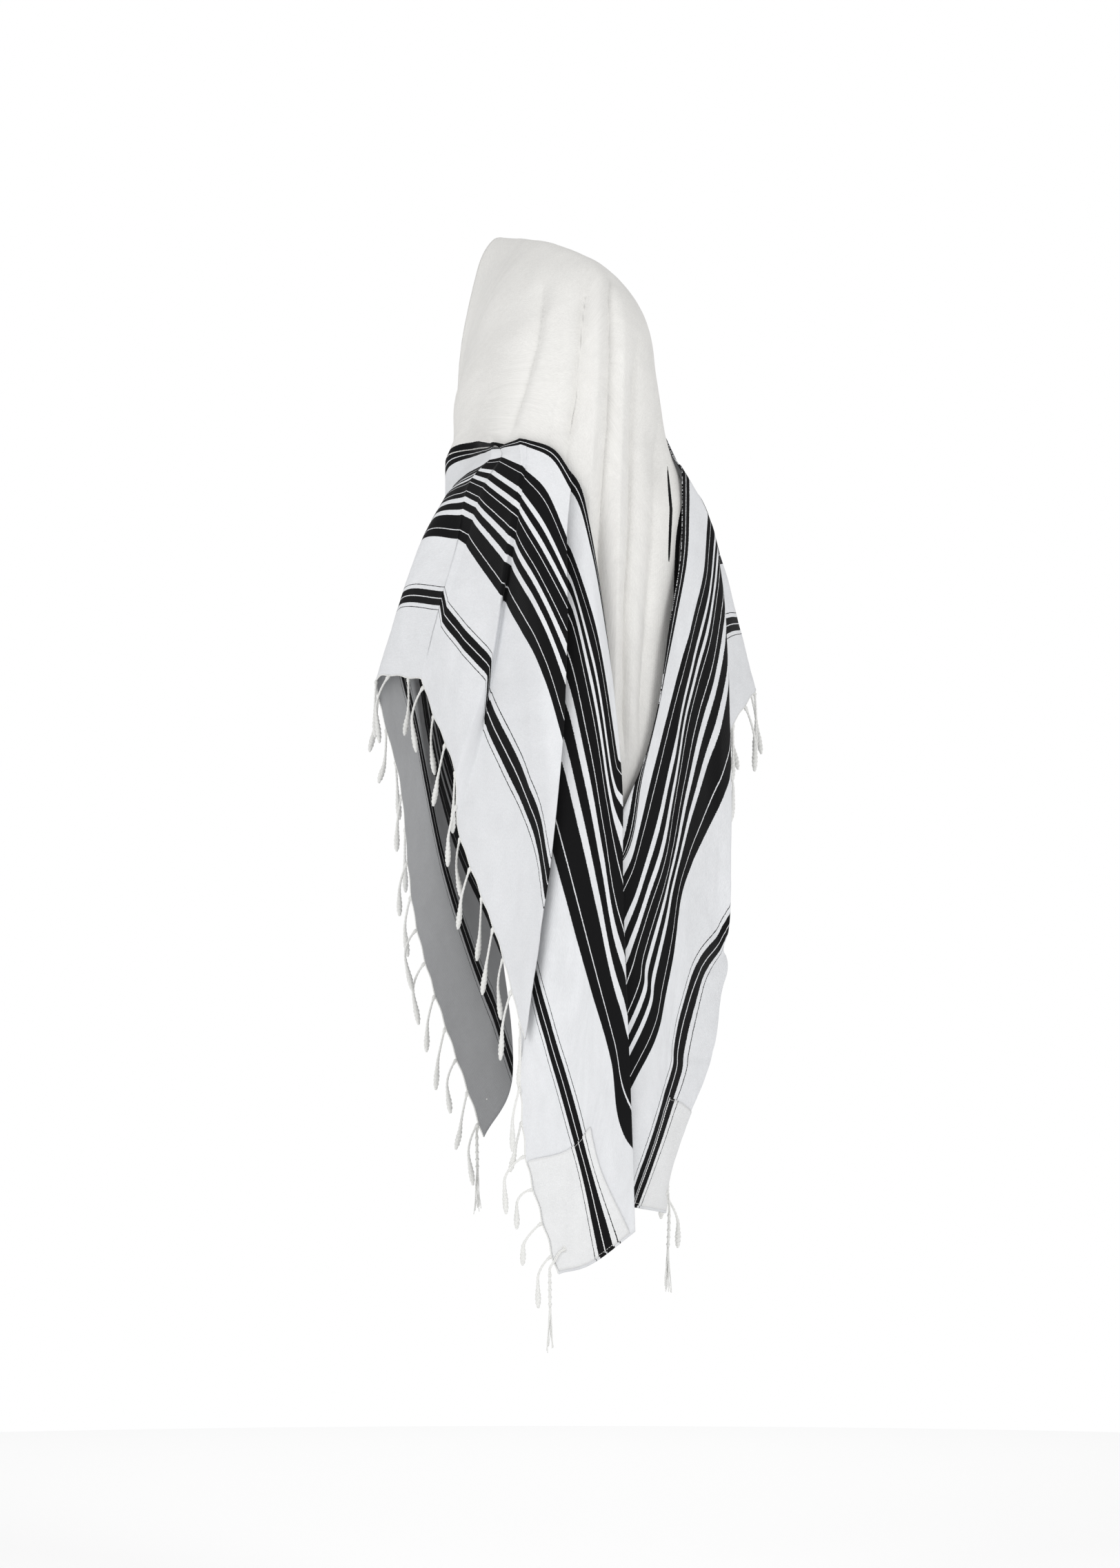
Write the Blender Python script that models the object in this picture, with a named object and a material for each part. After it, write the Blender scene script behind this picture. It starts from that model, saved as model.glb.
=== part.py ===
"""A large white woollen prayer shawl with black woven bands, kept in its worn form.

The cloth is one rectangle. It hangs from the crown of the head: its upper edge frames the
face and falls down the front, its two fringed ends lie over the forearms like wide sleeves,
and its lower edge hangs down the back. X+ is the wearer's left, Y+ the back, Z+ up, and the
origin is the crown of the head under the cloth. All lengths are in metres.
"""
import bmesh
import bpy
import numpy as np

for old in list(bpy.data.objects):
    bpy.data.objects.remove(old, do_unlink=True)

WALL = 0.0020
SEAM_GAP = 0.0003
FRINGE_GAP = 0.0008
PATCH_WALL = 0.0010
EDGE_STRIP = 0.0040
STRAND_PITCH = 0.043
STRAND_PHASE = 0.44
STRAND_LENGTH = 0.058
STRAND_ROOT = 0.0012
STRAND_SHARES = (0.0, 0.15, 0.35, 0.6, 0.85, 1.0)
STRAND_RADII = (0.0012, 0.0012, 0.0013, 0.0018, 0.0028, 0.0014)
STRAND_REACH = (0.020, 0.024, 0.018, 0.026)
STRAND_SIDES = (-0.003, 0.009)
STRAND_SWAY = 0.002
STRAND_SWAY_TURNS = (2.1, 1.3)
# A strand stands out in the first part of its length, and its fall grows by this power.
STRAND_OUT_RATE = 2.4
STRAND_FALL_POWER = 1.4
STRIP_END = 0.004
# The fringe leaves out the columns that lie hidden under the sleeve.
FRINGE_START = {"left_back": 1}
PATCH_GAP = 0.0009
FRONT_PATCH = (0.120, 0.130)
BACK_PATCHES = {"left": (0.180, 0.145), "right": (0.145, 0.145)}
PATCH_INSET = 0.003
REFINE = 8
PATCH_CELLS_ACROSS, PATCH_CELLS_UP = 14, 10
EYELET_CELL = 2
TASSEL_DROP = 0.105
TASSEL_RADIUS = 0.0022
TASSEL_LOOP_SHARE = 0.6
TASSEL_LIFT = 0.0026
TASSEL_OVERHANG = 0.012
# How thick a tassel is down its length: share of the drop, share of its radius.
TASSEL_SHAPE = ((0.08, .8), (0.14, 1.2), (0.2, .9), (0.28, 1.2), (0.35, .9), (0.43, 1.2),
                (0.5, .9), (0.8, 1.1), (1.0, .5))
TASSEL_LEAST_FALL = 0.004

# Places across the cloth, measured from the nearer fringed end.
NECK, INNER, MIDDLE, OUTER, GROUP, END = 0.512, 0.446, 0.348, 0.250, 0.146, 0.0

# How wide and how deep the body's back is at each height: height, half width, depth.
BACK_RINGS = (
    (-0.20, 0.128, 0.152),
    (-0.24, 0.133, 0.157),
    (-0.28, 0.137, 0.158),
    (-0.33, 0.155, 0.162),
    (-0.40, 0.180, 0.170),
    (-0.50, 0.195, 0.178),
    (-0.70, 0.200, 0.182),
    (-1.00, 0.190, 0.178),
    (-1.30, 0.170, 0.172),
)
BACK_CENTRE = -0.010
BACK_SIDE_LIMIT = 0.97

# One row of places along each fold of the wearer's left sleeve, front edge first.
# Each fold: its station, then rows of (place across the cloth, x, y, z).
LEFT_SLEEVE = (
    (0, ((NECK, .030, -.198, -.630), (INNER, .028, -.196, -.700), (MIDDLE, .022, -.185, -.800),
         (OUTER, .012, -.165, -.910), (GROUP, .006, -.140, -1.045), (END, .044, -.144, -1.133))),
    (1, ((NECK, .085, -.132, -.460), (INNER, .090, -.145, -.520), (MIDDLE, .100, -.155, -.610),
         (OUTER, .100, -.145, -.710), (GROUP, .100, -.130, -.790), (END, .128, -.164, -.858))),
    (2, ((NECK, .105, -.085, -.340), (INNER, .115, -.102, -.390), (MIDDLE, .130, -.116, -.450),
         (OUTER, .142, -.118, -.525), (GROUP, .140, -.124, -.610), (END, .142, -.184, -.678))),
    (3, ((NECK, .110, -.045, -.288), (INNER, .122, -.054, -.325), (MIDDLE, .140, -.066, -.368),
         (OUTER, .158, -.078, -.425), (GROUP, .167, -.118, -.498), (END, .164, -.190, -.592))),
    (4, ((NECK, .103, -.006, -.267), (INNER, .125, .008, -.300), (MIDDLE, .144, .001, -.327),
         (OUTER, .169, -.008, -.379), (GROUP, .177, -.064, -.452), (END, .184, -.141, -.552))),
    (5, ((NECK, .112, .082, -.265), (INNER, .115, .092, -.280), (MIDDLE, .134, .062, -.311),
         (OUTER, .140, .040, -.378), (GROUP, .153, .019, -.452), (END, .161, -.037, -.553))),
    (6, ((NECK, .109, .092, -.264), (INNER, .110, .107, -.274), (MIDDLE, .131, .090, -.318),
         (OUTER, .138, .051, -.385), (GROUP, .156, .023, -.471), (END, .160, -.030, -.574))),
    (7, ((NECK, .091, .125, -.255), (INNER, .092, .136, -.284), (MIDDLE, .106, .140, -.351),
         (OUTER, .112, .114, -.447), (GROUP, .118, .088, -.536), (END, .143, .037, -.667))),
    (8, ((NECK, .086, .131, -.255), (INNER, .090, .139, -.287), (MIDDLE, .103, .144, -.357),
         (OUTER, .107, .110, -.456), (GROUP, .118, .074, -.593), (END, .144, .033, -.734))),
    (9, ((NECK, .057, .156, -.269), (INNER, .068, .163, -.315), (MIDDLE, .079, .176, -.415),
         (OUTER, .084, .181, -.537), (GROUP, .086, .155, -.714), (END, .118, .110, -.869))),
    (10, ((NECK, .039, .169, -.299), (INNER, .050, .181, -.368), (MIDDLE, .054, .193, -.471),
          (OUTER, .061, .196, -.626), (GROUP, .079, .189, -.802), (END, .101, .170, -.996))),
)
# The part of the same side that lies down the back, from under the sleeve to the lower edge.
LEFT_BACK = (
    (10.5, ((NECK, .042, .160, -.312), (INNER, .047, .168, -.372), (MIDDLE, .053, .177, -.474),
            (OUTER, .073, .167, -.735), (GROUP, .089, .152, -.898), (END, .101, .148, -.995))),
    (11, ((NECK, .031, .165, -.306), (INNER, .041, .173, -.385), (MIDDLE, .045, .182, -.493),
          (OUTER, .067, .179, -.768), (GROUP, .085, .168, -.936), (END, .103, .156, -1.035))),
    (12, ((NECK, .017, .177, -.372), (INNER, .017, .185, -.463), (MIDDLE, .028, .191, -.686),
          (OUTER, .027, .190, -.910), (GROUP, .066, .176, -1.004), (END, .102, .156, -1.060))),
    (13, ((INNER, -.014, .197, -.648), (MIDDLE, .009, .196, -.742), (OUTER, .012, .192, -.966),
          (GROUP, .052, .179, -1.060), (END, .100, .156, -1.099))),
    (14, ((MIDDLE, -.018, .198, -.824), (OUTER, .003, .193, -1.035), (GROUP, .043, .183, -1.100),
          (END, .097, .157, -1.133))),
    (15, ((.265, -.028, .197, -1.080), (OUTER, -.013, .195, -1.095), (GROUP, .028, .186, -1.137),
          (END, .092, .160, -1.164))),
    (16, ((.185, -.034, .195, -1.232), (GROUP, .001, .190, -1.259), (END, .060, .172, -1.285))),
)
# The same two parts of the wearer's right side.
RIGHT_SLEEVE = (
    (0, ((NECK, -.056, -.188, -.450), (INNER, -.055, -.190, -.515), (MIDDLE, -.055, -.188, -.595),
         (OUTER, -.058, -.180, -.670), (GROUP, -.065, -.180, -.770), (END, -.090, -.175, -.900))),
    (2, ((NECK, -.113, -.080, -.285), (INNER, -.122, -.100, -.345), (MIDDLE, -.135, -.125, -.420),
         (OUTER, -.155, -.130, -.500), (GROUP, -.185, -.140, -.590), (END, -.220, -.160, -.730))),
    (4, ((NECK, -.120, -.030, -.250), (INNER, -.140, -.030, -.305), (MIDDLE, -.170, -.030, -.345),
         (OUTER, -.205, -.045, -.410), (GROUP, -.245, -.075, -.490), (END, -.285, -.120, -.590))),
    (5, ((NECK, -.121, .054, -.247), (INNER, -.150, .040, -.299), (MIDDLE, -.180, .034, -.329),
         (OUTER, -.213, .024, -.409), (GROUP, -.250, -.015, -.484), (END, -.288, -.055, -.569))),
    (7, ((NECK, -.118, .099, -.273), (INNER, -.150, .090, -.321), (MIDDLE, -.178, .080, -.366),
         (OUTER, -.191, .068, -.420), (GROUP, -.204, .048, -.501), (END, -.225, .020, -.620))),
    (8, ((NECK, -.122, .108, -.284), (INNER, -.155, .102, -.332), (MIDDLE, -.178, .100, -.395),
         (OUTER, -.190, .096, -.530), (GROUP, -.194, .088, -.660), (END, -.212, .020, -.715))),
)
RIGHT_BACK = (
    (8, RIGHT_SLEEVE[-1][1]),
    (9, ((NECK, -.124, .119, -.295), (INNER, -.158, .111, -.347), (MIDDLE, -.175, .117, -.433),
         (OUTER, -.187, .121, -.669), (GROUP, -.186, .121, -.850), (END, -.195, .018, -.815))),
    (10, ((NECK, -.111, .150, -.394), (INNER, -.145, .134, -.410), (MIDDLE, -.157, .137, -.505),
          (OUTER, -.176, .128, -.695), (GROUP, -.181, .120, -.865), (END, -.190, .024, -.872))),
    (11, ((NECK, -.091, .170, -.471), (INNER, -.122, .154, -.471), (MIDDLE, -.129, .155, -.583),
          (OUTER, -.161, .132, -.721), (GROUP, -.174, .116, -.879), (.075, -.194, .084, -.902),
          (END, -.184, .033, -.925))),
    (12, ((NECK, -.048, .188, -.652), (INNER, -.055, .187, -.699), (MIDDLE, -.081, .179, -.781),
          (OUTER, -.104, .169, -.828), (GROUP, -.125, .156, -.931), (.075, -.181, .102, -.950),
          (END, -.172, .042, -.965))),
    (12.5, ((.535, -.008, .193, -.742), (NECK, -.026, .191, -.751), (INNER, -.034, .190, -.768),
            (MIDDLE, -.061, .184, -.832), (OUTER, -.093, .173, -.893), (GROUP, -.108, .165, -.979),
            (.075, -.173, .108, -.996), (END, -.161, .048, -1.010))),
    (13, ((.470, -.003, .193, -.798), (INNER, -.023, .190, -.805), (MIDDLE, -.045, .187, -.875),
          (OUTER, -.083, .176, -.936), (GROUP, -.102, .167, -1.006), (.075, -.166, .111, -1.020),
          (END, -.151, .055, -1.035))),
    (14, ((.372, -.006, .191, -.928), (MIDDLE, -.027, .188, -.934), (OUTER, -.065, .181, -.998),
          (GROUP, -.099, .167, -1.035), (.075, -.156, .114, -1.045), (END, -.142, .062, -1.065))),
    (15, ((.278, -.012, .188, -1.062), (GROUP, -.086, .173, -1.072), (.075, -.134, .127, -1.085),
          (END, -.123, .077, -1.115))),
    (16, ((.175, -.020, .186, -1.200), (.075, -.066, .176, -1.208), (END, -.092, .150, -1.213))),
)

# The hood, from the face edge over the head to the nape, before the head is turned.
# Each row: its station, then (x, y, z) from the wearer's left to right.
HOOD_ROWS = (
    (0, ((.036, -.200, -.480), (.060, -.174, -.330), (.088, -.118, -.210), (.068, -.095, -.095),
         (.000, -.120, .000), (-.074, -.100, -.095), (-.088, -.122, -.210), (-.066, -.168, -.330))),
    (2, ((.109, -.075, -.280), (.112, -.058, -.210), (.104, -.025, -.145), (.072, .000, -.058),
         (.000, .000, -.012), (-.074, .000, -.058), (-.107, -.035, -.145), (-.113, -.070, -.222))),
    (4, ((.112, .000, -.235), (.116, .022, -.190), (.100, .060, -.125), (.056, .095, -.078),
         (.000, .108, -.056), (-.052, .092, -.078), (-.103, .050, -.130), (-.119, .000, -.184))),
    (6, ((.109, .084, -.248), (.102, .099, -.222), (.083, .120, -.182), (.045, .141, -.150),
         (.000, .148, -.140), (-.046, .141, -.150), (-.082, .116, -.175), (-.110, .074, -.208))),
    (7.5, ((.083, .127, -.262), (.079, .127, -.243), (.062, .139, -.220), (.033, .150, -.200),
           (-.003, .154, -.195), (-.040, .149, -.200), (-.075, .130, -.212), (-.104, .097, -.237))),
    (9, ((.066, .143, -.292), (.054, .148, -.276), (.038, .152, -.262), (.018, .155, -.254),
         (-.008, .156, -.252), (-.034, .152, -.254), (-.064, .140, -.262), (-.098, .118, -.284))),
)
# How far the head is turned to the wearer's left, and between which heights the turn grows.
HEAD_TURN = 0.28
TURN_HEIGHTS = (-0.22, -0.06)
# Below the nape the centre panel only falls, hidden at both sides: station, height, half width.
CENTRE_INSET = 0.004
CENTRE_FALL = (
    (12, -0.400, 0.105),
    (13, -0.640, 0.088),
    (14, -0.820, 0.082),
    (15, -1.060, 0.075),
    (16, -1.190, 0.060),
)
# The centre panel meets the sleeves edge to edge in front and passes under them behind.
STEP_STATIONS = (4.5, 6.0)
STEP_DEPTH, STEP_GAP = 0.008, 0.003
LAST_STEP_STATION = 5.5
LEFT_UNDER = ((7.5, (.086, .126, -.284)), (9, (.080, .136, -.315)))
RIGHT_UNDER = ((7.5, (-.121, .088, -.302)), (9, (-.132, .104, -.330)))
LEFT_SIDE, RIGHT_SIDE = -1, 1
# Keeps the smooth curves from running past their places.
TANGENT_LIMIT = 2.0

PANEL_ROWS = 20
CENTRE_COLUMNS = 16
CENTRE_GUIDES = 8
STATIONS = np.array((0, .4, .8, 1.2, 1.6, 2, 2.4, 2.8, 3.2, 3.6, 4, 4.5, 5, 5.5, 6, 6.5, 7, 7.5, 8,
                     8.5, 9, 9.5, 10, 10.5, 11, 11.5, 12, 12.33, 12.67, 13, 13.5, 14, 14.5, 15,
                     15.25, 15.5, 15.75, 16))


def smooth_path(knots, places, at):
    """A smooth curve through the places, one at each knot, read at other knots."""
    knots = np.asarray(knots, float)
    places = np.asarray(places, float)
    at = np.atleast_1d(np.asarray(at, float))
    steps = np.diff(knots)
    slopes = np.diff(places, axis=0) / steps[:, None]
    tangents = np.empty_like(places)
    tangents[0], tangents[-1] = slopes[0], slopes[-1]
    for i in range(1, len(knots) - 1):
        before, after = steps[i - 1], steps[i]
        tangent = (slopes[i - 1] * after + slopes[i] * before) / (before + after)
        limit = TANGENT_LIMIT * min(np.linalg.norm(slopes[i - 1]), np.linalg.norm(slopes[i]))
        tangents[i] = tangent * min(1.0, limit / max(np.linalg.norm(tangent), 1e-9))
    where = np.clip(np.searchsorted(knots, at, side="right") - 1, 0, len(steps) - 1)
    step = steps[where][:, None]
    u = ((at - knots[where]) / steps[where])[:, None]
    start, end = places[where], places[where + 1]
    leave, arrive = tangents[where] * step, tangents[where + 1] * step
    return ((2 * u**3 - 3 * u**2 + 1) * start + (u**3 - 2 * u**2 + u) * leave
            + (3 * u**2 - 2 * u**3) * end + (u**3 - u**2) * arrive)


def fold_places(fold, shares):
    """Places along one fold, and how far across the cloth each lies."""
    rows = sorted(fold)
    across = rows[-1][0] * (1 - np.asarray(shares))
    return smooth_path([r[0] for r in rows], [r[1:] for r in rows], across), across


def on_back(x, z):
    """How far back the body's back lies at one place."""
    heights = [-r[0] for r in BACK_RINGS]
    half = np.interp(-z, heights, [r[1] for r in BACK_RINGS])
    deep = np.interp(-z, heights, [r[2] for r in BACK_RINGS])
    share = np.clip((x - BACK_CENTRE) / half, -BACK_SIDE_LIMIT, BACK_SIDE_LIMIT)
    return deep * np.sqrt(1 - share**2)


def panel_places(folds, shares, stations):
    """A panel's places: one row for each share across it, one column for each station."""
    keys = np.array([f[0] for f in folds], float)
    lines, widths = [], []
    for _, fold in folds:
        line, across = fold_places(fold, shares)
        lines.append(line)
        widths.append(across)
    lines, widths = np.array(lines), np.array(widths)
    gaps = np.linalg.norm(np.diff(lines, axis=0), axis=2).mean(axis=1)
    length = np.concatenate([[0.0], np.cumsum(gaps)])
    reach = np.interp(stations, keys, length)
    places = np.array([smooth_path(length, lines[:, k], reach) for k in range(len(shares))])
    across = np.array([np.interp(reach, length, widths[:, k]) for k in range(len(shares))])
    return places, across


def grid_normals(places, sign=1):
    """The outward directions of a grid of places."""
    down = np.gradient(places, axis=0)
    along = np.gradient(places, axis=1)
    normals = sign * np.cross(along, down)
    return normals / np.maximum(np.linalg.norm(normals, axis=2, keepdims=True), 1e-9)


def grow(values, start, end):
    """A smooth rise from 0 at the start to 1 at the end."""
    share = np.clip((np.asarray(values, float) - start) / (end - start), 0.0, 1.0)
    return share * share * (3 - 2 * share)


def turned(place):
    """A place on the hood once the head is turned."""
    x, y, z = place
    angle = HEAD_TURN * grow(z, *TURN_HEIGHTS)
    return (x * np.cos(angle) - y * np.sin(angle), x * np.sin(angle) + y * np.cos(angle), z)


def centre_guides(stations):
    """The centre panel's eight inner guiding lines, from the wearer's left to right."""
    keys, rows = [], []
    for station, row in HOOD_ROWS:
        keys.append(station)
        rows.append([turned(place) for place in row])
    for station, height, half in CENTRE_FALL:
        xs = BACK_CENTRE + half * np.linspace(1, -1, CENTRE_GUIDES + 2)[1:-1]
        keys.append(station)
        rows.append([(x, on_back(x, height) - CENTRE_INSET, height) for x in xs])
    rows = np.array(rows)
    return np.array([smooth_path(keys, rows[:, k], stations) for k in range(CENTRE_GUIDES)])


def centre_edge(panel, normals, under, side):
    """One side edge of the centre panel: along the sleeve's edge, then under it."""
    chosen = [i for i, s in enumerate(STATIONS) if s <= LAST_STEP_STATION]
    keys = list(STATIONS[chosen])
    into = panel[1, chosen] - panel[0, chosen]
    into /= np.linalg.norm(into, axis=1, keepdims=True)
    step = grow(keys, *STEP_STATIONS)[:, None]
    beside = panel[0, chosen] - into * (SEAM_GAP + STEP_GAP * step)
    rows = list(beside - normals[0, chosen] * STEP_DEPTH * step)
    for station, place in under:
        keys.append(station)
        rows.append(place)
    for station, height, half in CENTRE_FALL:
        x = BACK_CENTRE - side * half
        keys.append(station)
        rows.append((x, on_back(x, height) - CENTRE_INSET, height))
    return smooth_path(keys, rows, STATIONS)


def centre_places(left_edge, guides, right_edge):
    """The centre panel's places between its two side edges."""
    whole = np.concatenate([left_edge[None], guides, right_edge[None]])
    out = np.empty((CENTRE_COLUMNS, whole.shape[1], 3))
    for j in range(whole.shape[1]):
        steps = np.linalg.norm(np.diff(whole[:, j], axis=0), axis=1)
        length = np.concatenate([[0], np.cumsum(np.maximum(steps, 1e-4))])
        last = CENTRE_GUIDES + 1
        at = np.interp(np.linspace(0, last, CENTRE_COLUMNS), np.arange(last + 1), length)
        out[:, j] = smooth_path(length, whole[:, j], at)
    return out


def share_normals(panel_normals, centre_normals, centre_row):
    """Gives the two walls one outward direction where they meet edge to edge."""
    count = panel_normals.shape[1]
    flush = 1 - grow(STATIONS[:count], *STEP_STATIONS)[:, None]
    mean = panel_normals[0] + centre_normals[centre_row, :count]
    mean /= np.linalg.norm(mean, axis=1, keepdims=True)
    for normals, row in ((panel_normals, 0), (centre_normals, centre_row)):
        mixed = mean * flush + normals[row, :count] * (1 - flush)
        normals[row, :count] = mixed / np.linalg.norm(mixed, axis=1, keepdims=True)


def make_object(name, places, faces, material):
    """One closed solid from its corner places and faces."""
    mesh = bpy.data.meshes.new(name)
    shape = bmesh.new()
    corners = [shape.verts.new(p) for p in places]
    for face in faces:
        shape.faces.new([corners[i] for i in face])
    bmesh.ops.recalc_face_normals(shape, faces=shape.faces)
    shape.to_mesh(mesh)
    shape.free()
    mesh.materials.append(material)
    part = bpy.data.objects.new(name, mesh)
    COLLECTION.objects.link(part)
    return part


def wall_solid(name, places, normals, thickness, material):
    """A closed wall round a grid of places."""
    rows, columns = places.shape[:2]
    outer = places + normals * thickness / 2
    inner = places - normals * thickness / 2
    corners = np.concatenate([outer.reshape(-1, 3), inner.reshape(-1, 3)])
    inside = rows * columns

    def at(i, j, side):
        return side * inside + i * columns + j

    faces = []
    for i in range(rows - 1):
        for j in range(columns - 1):
            faces.append((at(i, j, 0), at(i + 1, j, 0), at(i + 1, j + 1, 0), at(i, j + 1, 0)))
            faces.append((at(i, j, 1), at(i, j + 1, 1), at(i + 1, j + 1, 1), at(i + 1, j, 1)))
    for i in range(rows - 1):
        faces.append((at(i, 0, 0), at(i, 0, 1), at(i + 1, 0, 1), at(i + 1, 0, 0)))
        last = columns - 1
        faces.append((at(i, last, 0), at(i + 1, last, 0), at(i + 1, last, 1), at(i, last, 1)))
    for j in range(columns - 1):
        faces.append((at(0, j, 0), at(0, j + 1, 0), at(0, j + 1, 1), at(0, j, 1)))
        last = rows - 1
        faces.append((at(last, j, 0), at(last, j, 1), at(last, j + 1, 1), at(last, j + 1, 0)))
    return make_object(name, corners, faces, material)


def colour_material(name, colour):
    """A plain matt material."""
    material = bpy.data.materials.new(name)
    material.use_nodes = True
    shader = material.node_tree.nodes["Principled BSDF"]
    shader.inputs["Base Color"].default_value = (*colour, 1.0)
    shader.inputs["Roughness"].default_value = 0.9
    material.diffuse_color = (*colour, 1.0)
    return material


def band_line(places, across, place):
    """The line of one place across the cloth, in the columns that reach it."""
    line = []
    for j in range(places.shape[1]):
        if across[0, j] >= place:
            line.append([np.interp(place, across[::-1, j], places[::-1, j, i]) for i in range(3)])
    return np.array(line)


def refined(values):
    """The same grid with more columns between its own."""
    count = values.shape[1]
    at = np.linspace(0, count - 1, (count - 1) * REFINE + 1)
    low = np.minimum(at.astype(int), count - 2)
    share = (at - low).reshape((1, -1) + (1,) * (values.ndim - 2))
    return values[:, low] * (1 - share) + values[:, low + 1] * share


def corner_patch(places, across, normals, from_hem, width, height):
    """Places of a rectangular patch at a corner, lifted off the cloth."""
    places, across, normals = refined(places), refined(across), refined(normals)
    rows, facing = [], []
    for place in np.linspace(PATCH_INSET, width, PATCH_CELLS_ACROSS + 1):
        line = band_line(places, across, place)
        out = band_line(normals, across, place)
        if from_hem:
            line, out = line[::-1], out[::-1]
        length = np.concatenate([[0], np.cumsum(np.linalg.norm(np.diff(line, axis=0), axis=1))])
        at = np.linspace(PATCH_INSET, height, PATCH_CELLS_UP + 1)
        rows.append(np.array([np.interp(at, length, line[:, i]) for i in range(3)]).T)
        face = np.array([np.interp(at, length, out[:, i]) for i in range(3)]).T
        facing.append(face / np.linalg.norm(face, axis=1, keepdims=True))
    rows, facing = np.array(rows), np.array(facing)
    return rows + facing * (WALL / 2 + PATCH_GAP + PATCH_WALL / 2), facing


# The four corners round a tube, and how steep a line counts as upright.
TUBE_CORNERS = ((1, -1), (1, 1), (-1, 1), (-1, -1))
STEEP_SHARE = 0.7


def next_frame(run, first):
    """The two sideways directions at a place on a line, carried on from the place before."""
    run = run / np.linalg.norm(run)
    first = first - run * np.dot(first, run)
    first /= np.linalg.norm(first)
    return first, np.cross(run, first)


def add_tube(corners, faces, ring, line, radii, first):
    """Carries a ring of four corners on along a line and closes its end."""
    previous = ring
    runs = np.gradient(np.array(line), axis=0)
    for place, run, radius in zip(line[1:], runs[1:], radii[1:]):
        first, second = next_frame(run, first)
        new = len(corners)
        for a, b in TUBE_CORNERS:
            corners.append(place + radius * (a * first + b * second))
        fresh = [new, new + 1, new + 2, new + 3]
        for i in range(4):
            n = (i + 1) % 4
            faces.append((previous[i], previous[n], fresh[n], fresh[i]))
        previous = fresh
    faces.append(tuple(previous))


def tube_solid(name, line, radii, material):
    """A closed four-sided tube along a line."""
    line = np.array(line)
    start = line[1] - line[0]
    guide = (0.0, 0.0, 1.0)
    if abs(start[2]) > STEEP_SHARE * np.linalg.norm(start):
        guide = (1.0, 0.0, 0.0)
    first, second = next_frame(start, np.array(guide))
    corners = [line[0] + radii[0] * (a * first + b * second) for a, b in TUBE_CORNERS]
    faces = [(3, 2, 1, 0)]
    add_tube(corners, faces, [0, 1, 2, 3], list(line), list(radii), first)
    return make_object(name, corners, faces, material)


def strand_line(root, out, face, number):
    """The line of one hanging strand: a little way out, then down, each with its own sway."""
    reach = STRAND_REACH[number % len(STRAND_REACH)]
    side = STRAND_SIDES[number % len(STRAND_SIDES)]
    turns = number * np.array(STRAND_SWAY_TURNS)
    sway = STRAND_SWAY * np.array([np.sin(turns[0]), np.cos(turns[1]), 0.0])
    line = [root]
    for share in STRAND_SHARES[1:]:
        gone = min(1.0, share * STRAND_OUT_RATE)
        fall = np.array([0.0, 0.0, -STRAND_LENGTH * share**STRAND_FALL_POWER])
        line.append(root + (out * reach + face * side) * gone + fall + sway * share)
    return line


def fringe_solid(name, edge, beyond, facing, first_number):
    """A narrow strip along a fringed end, with the strands that hang from it."""
    length = np.concatenate([[0], np.cumsum(np.linalg.norm(np.diff(edge, axis=0), axis=1))])
    strands = int(round(length[-1] / STRAND_PITCH))
    pitch = length[-1] / strands
    middles = (np.arange(strands) + STRAND_PHASE) * pitch
    bends = [at for at in length if np.min(np.abs(middles - at)) > 2 * STRAND_ROOT
             and STRIP_END < at < length[-1] - STRIP_END]
    marks = np.sort(np.concatenate([[STRIP_END, length[-1] - STRIP_END], bends,
                                    middles - STRAND_ROOT, middles + STRAND_ROOT]))
    place, out, face = [np.array([np.interp(marks, length, values[:, i]) for i in range(3)]).T
                        for values in (edge, beyond, facing)]
    steps = np.diff(place, axis=0)
    steps /= np.linalg.norm(steps, axis=1, keepdims=True)
    run = np.concatenate([steps[:1], steps[:-1] + steps[1:], steps[-1:]])
    run /= np.linalg.norm(run, axis=1, keepdims=True)
    face -= run * np.sum(face * run, axis=1, keepdims=True)
    face /= np.linalg.norm(face, axis=1, keepdims=True)
    square = np.cross(run, face)
    turn = np.sign(np.sum(square * out, axis=1, keepdims=True))
    out = square * turn
    near, far = place + out * FRINGE_GAP, place + out * (FRINGE_GAP + EDGE_STRIP)
    half = face * WALL / 2
    corners = list(near + half) + list(far + half) + list(far - half) + list(near - half)
    count = len(marks)
    faces = [(0, count, 2 * count, 3 * count),
             (count - 1, 4 * count - 1, 3 * count - 1, 2 * count - 1)]
    number = first_number
    for k in range(count - 1):
        has_strand = np.min(np.abs(middles - (marks[k] + marks[k + 1]) / 2)) < STRAND_ROOT / 2
        for side in range(4):
            a, b = side * count + k, (side + 1) % 4 * count + k
            if not (has_strand and side == 1):
                faces.append((a, a + 1, b + 1, b))
        if has_strand:
            ring = [count + k, count + k + 1, 2 * count + k + 1, 2 * count + k]
            if turn[k, 0] > 0:
                ring = [ring[1], ring[0], ring[3], ring[2]]
            middle = sum(corners[i] for i in ring) / 4
            first = corners[ring[0]] - corners[ring[3]]
            strand = strand_line(middle, out[k], face[k], number)
            add_tube(corners, faces, ring, strand, STRAND_RADII, first)
            number += 1
    make_object(name, corners, faces, YARN)
    return number


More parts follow.
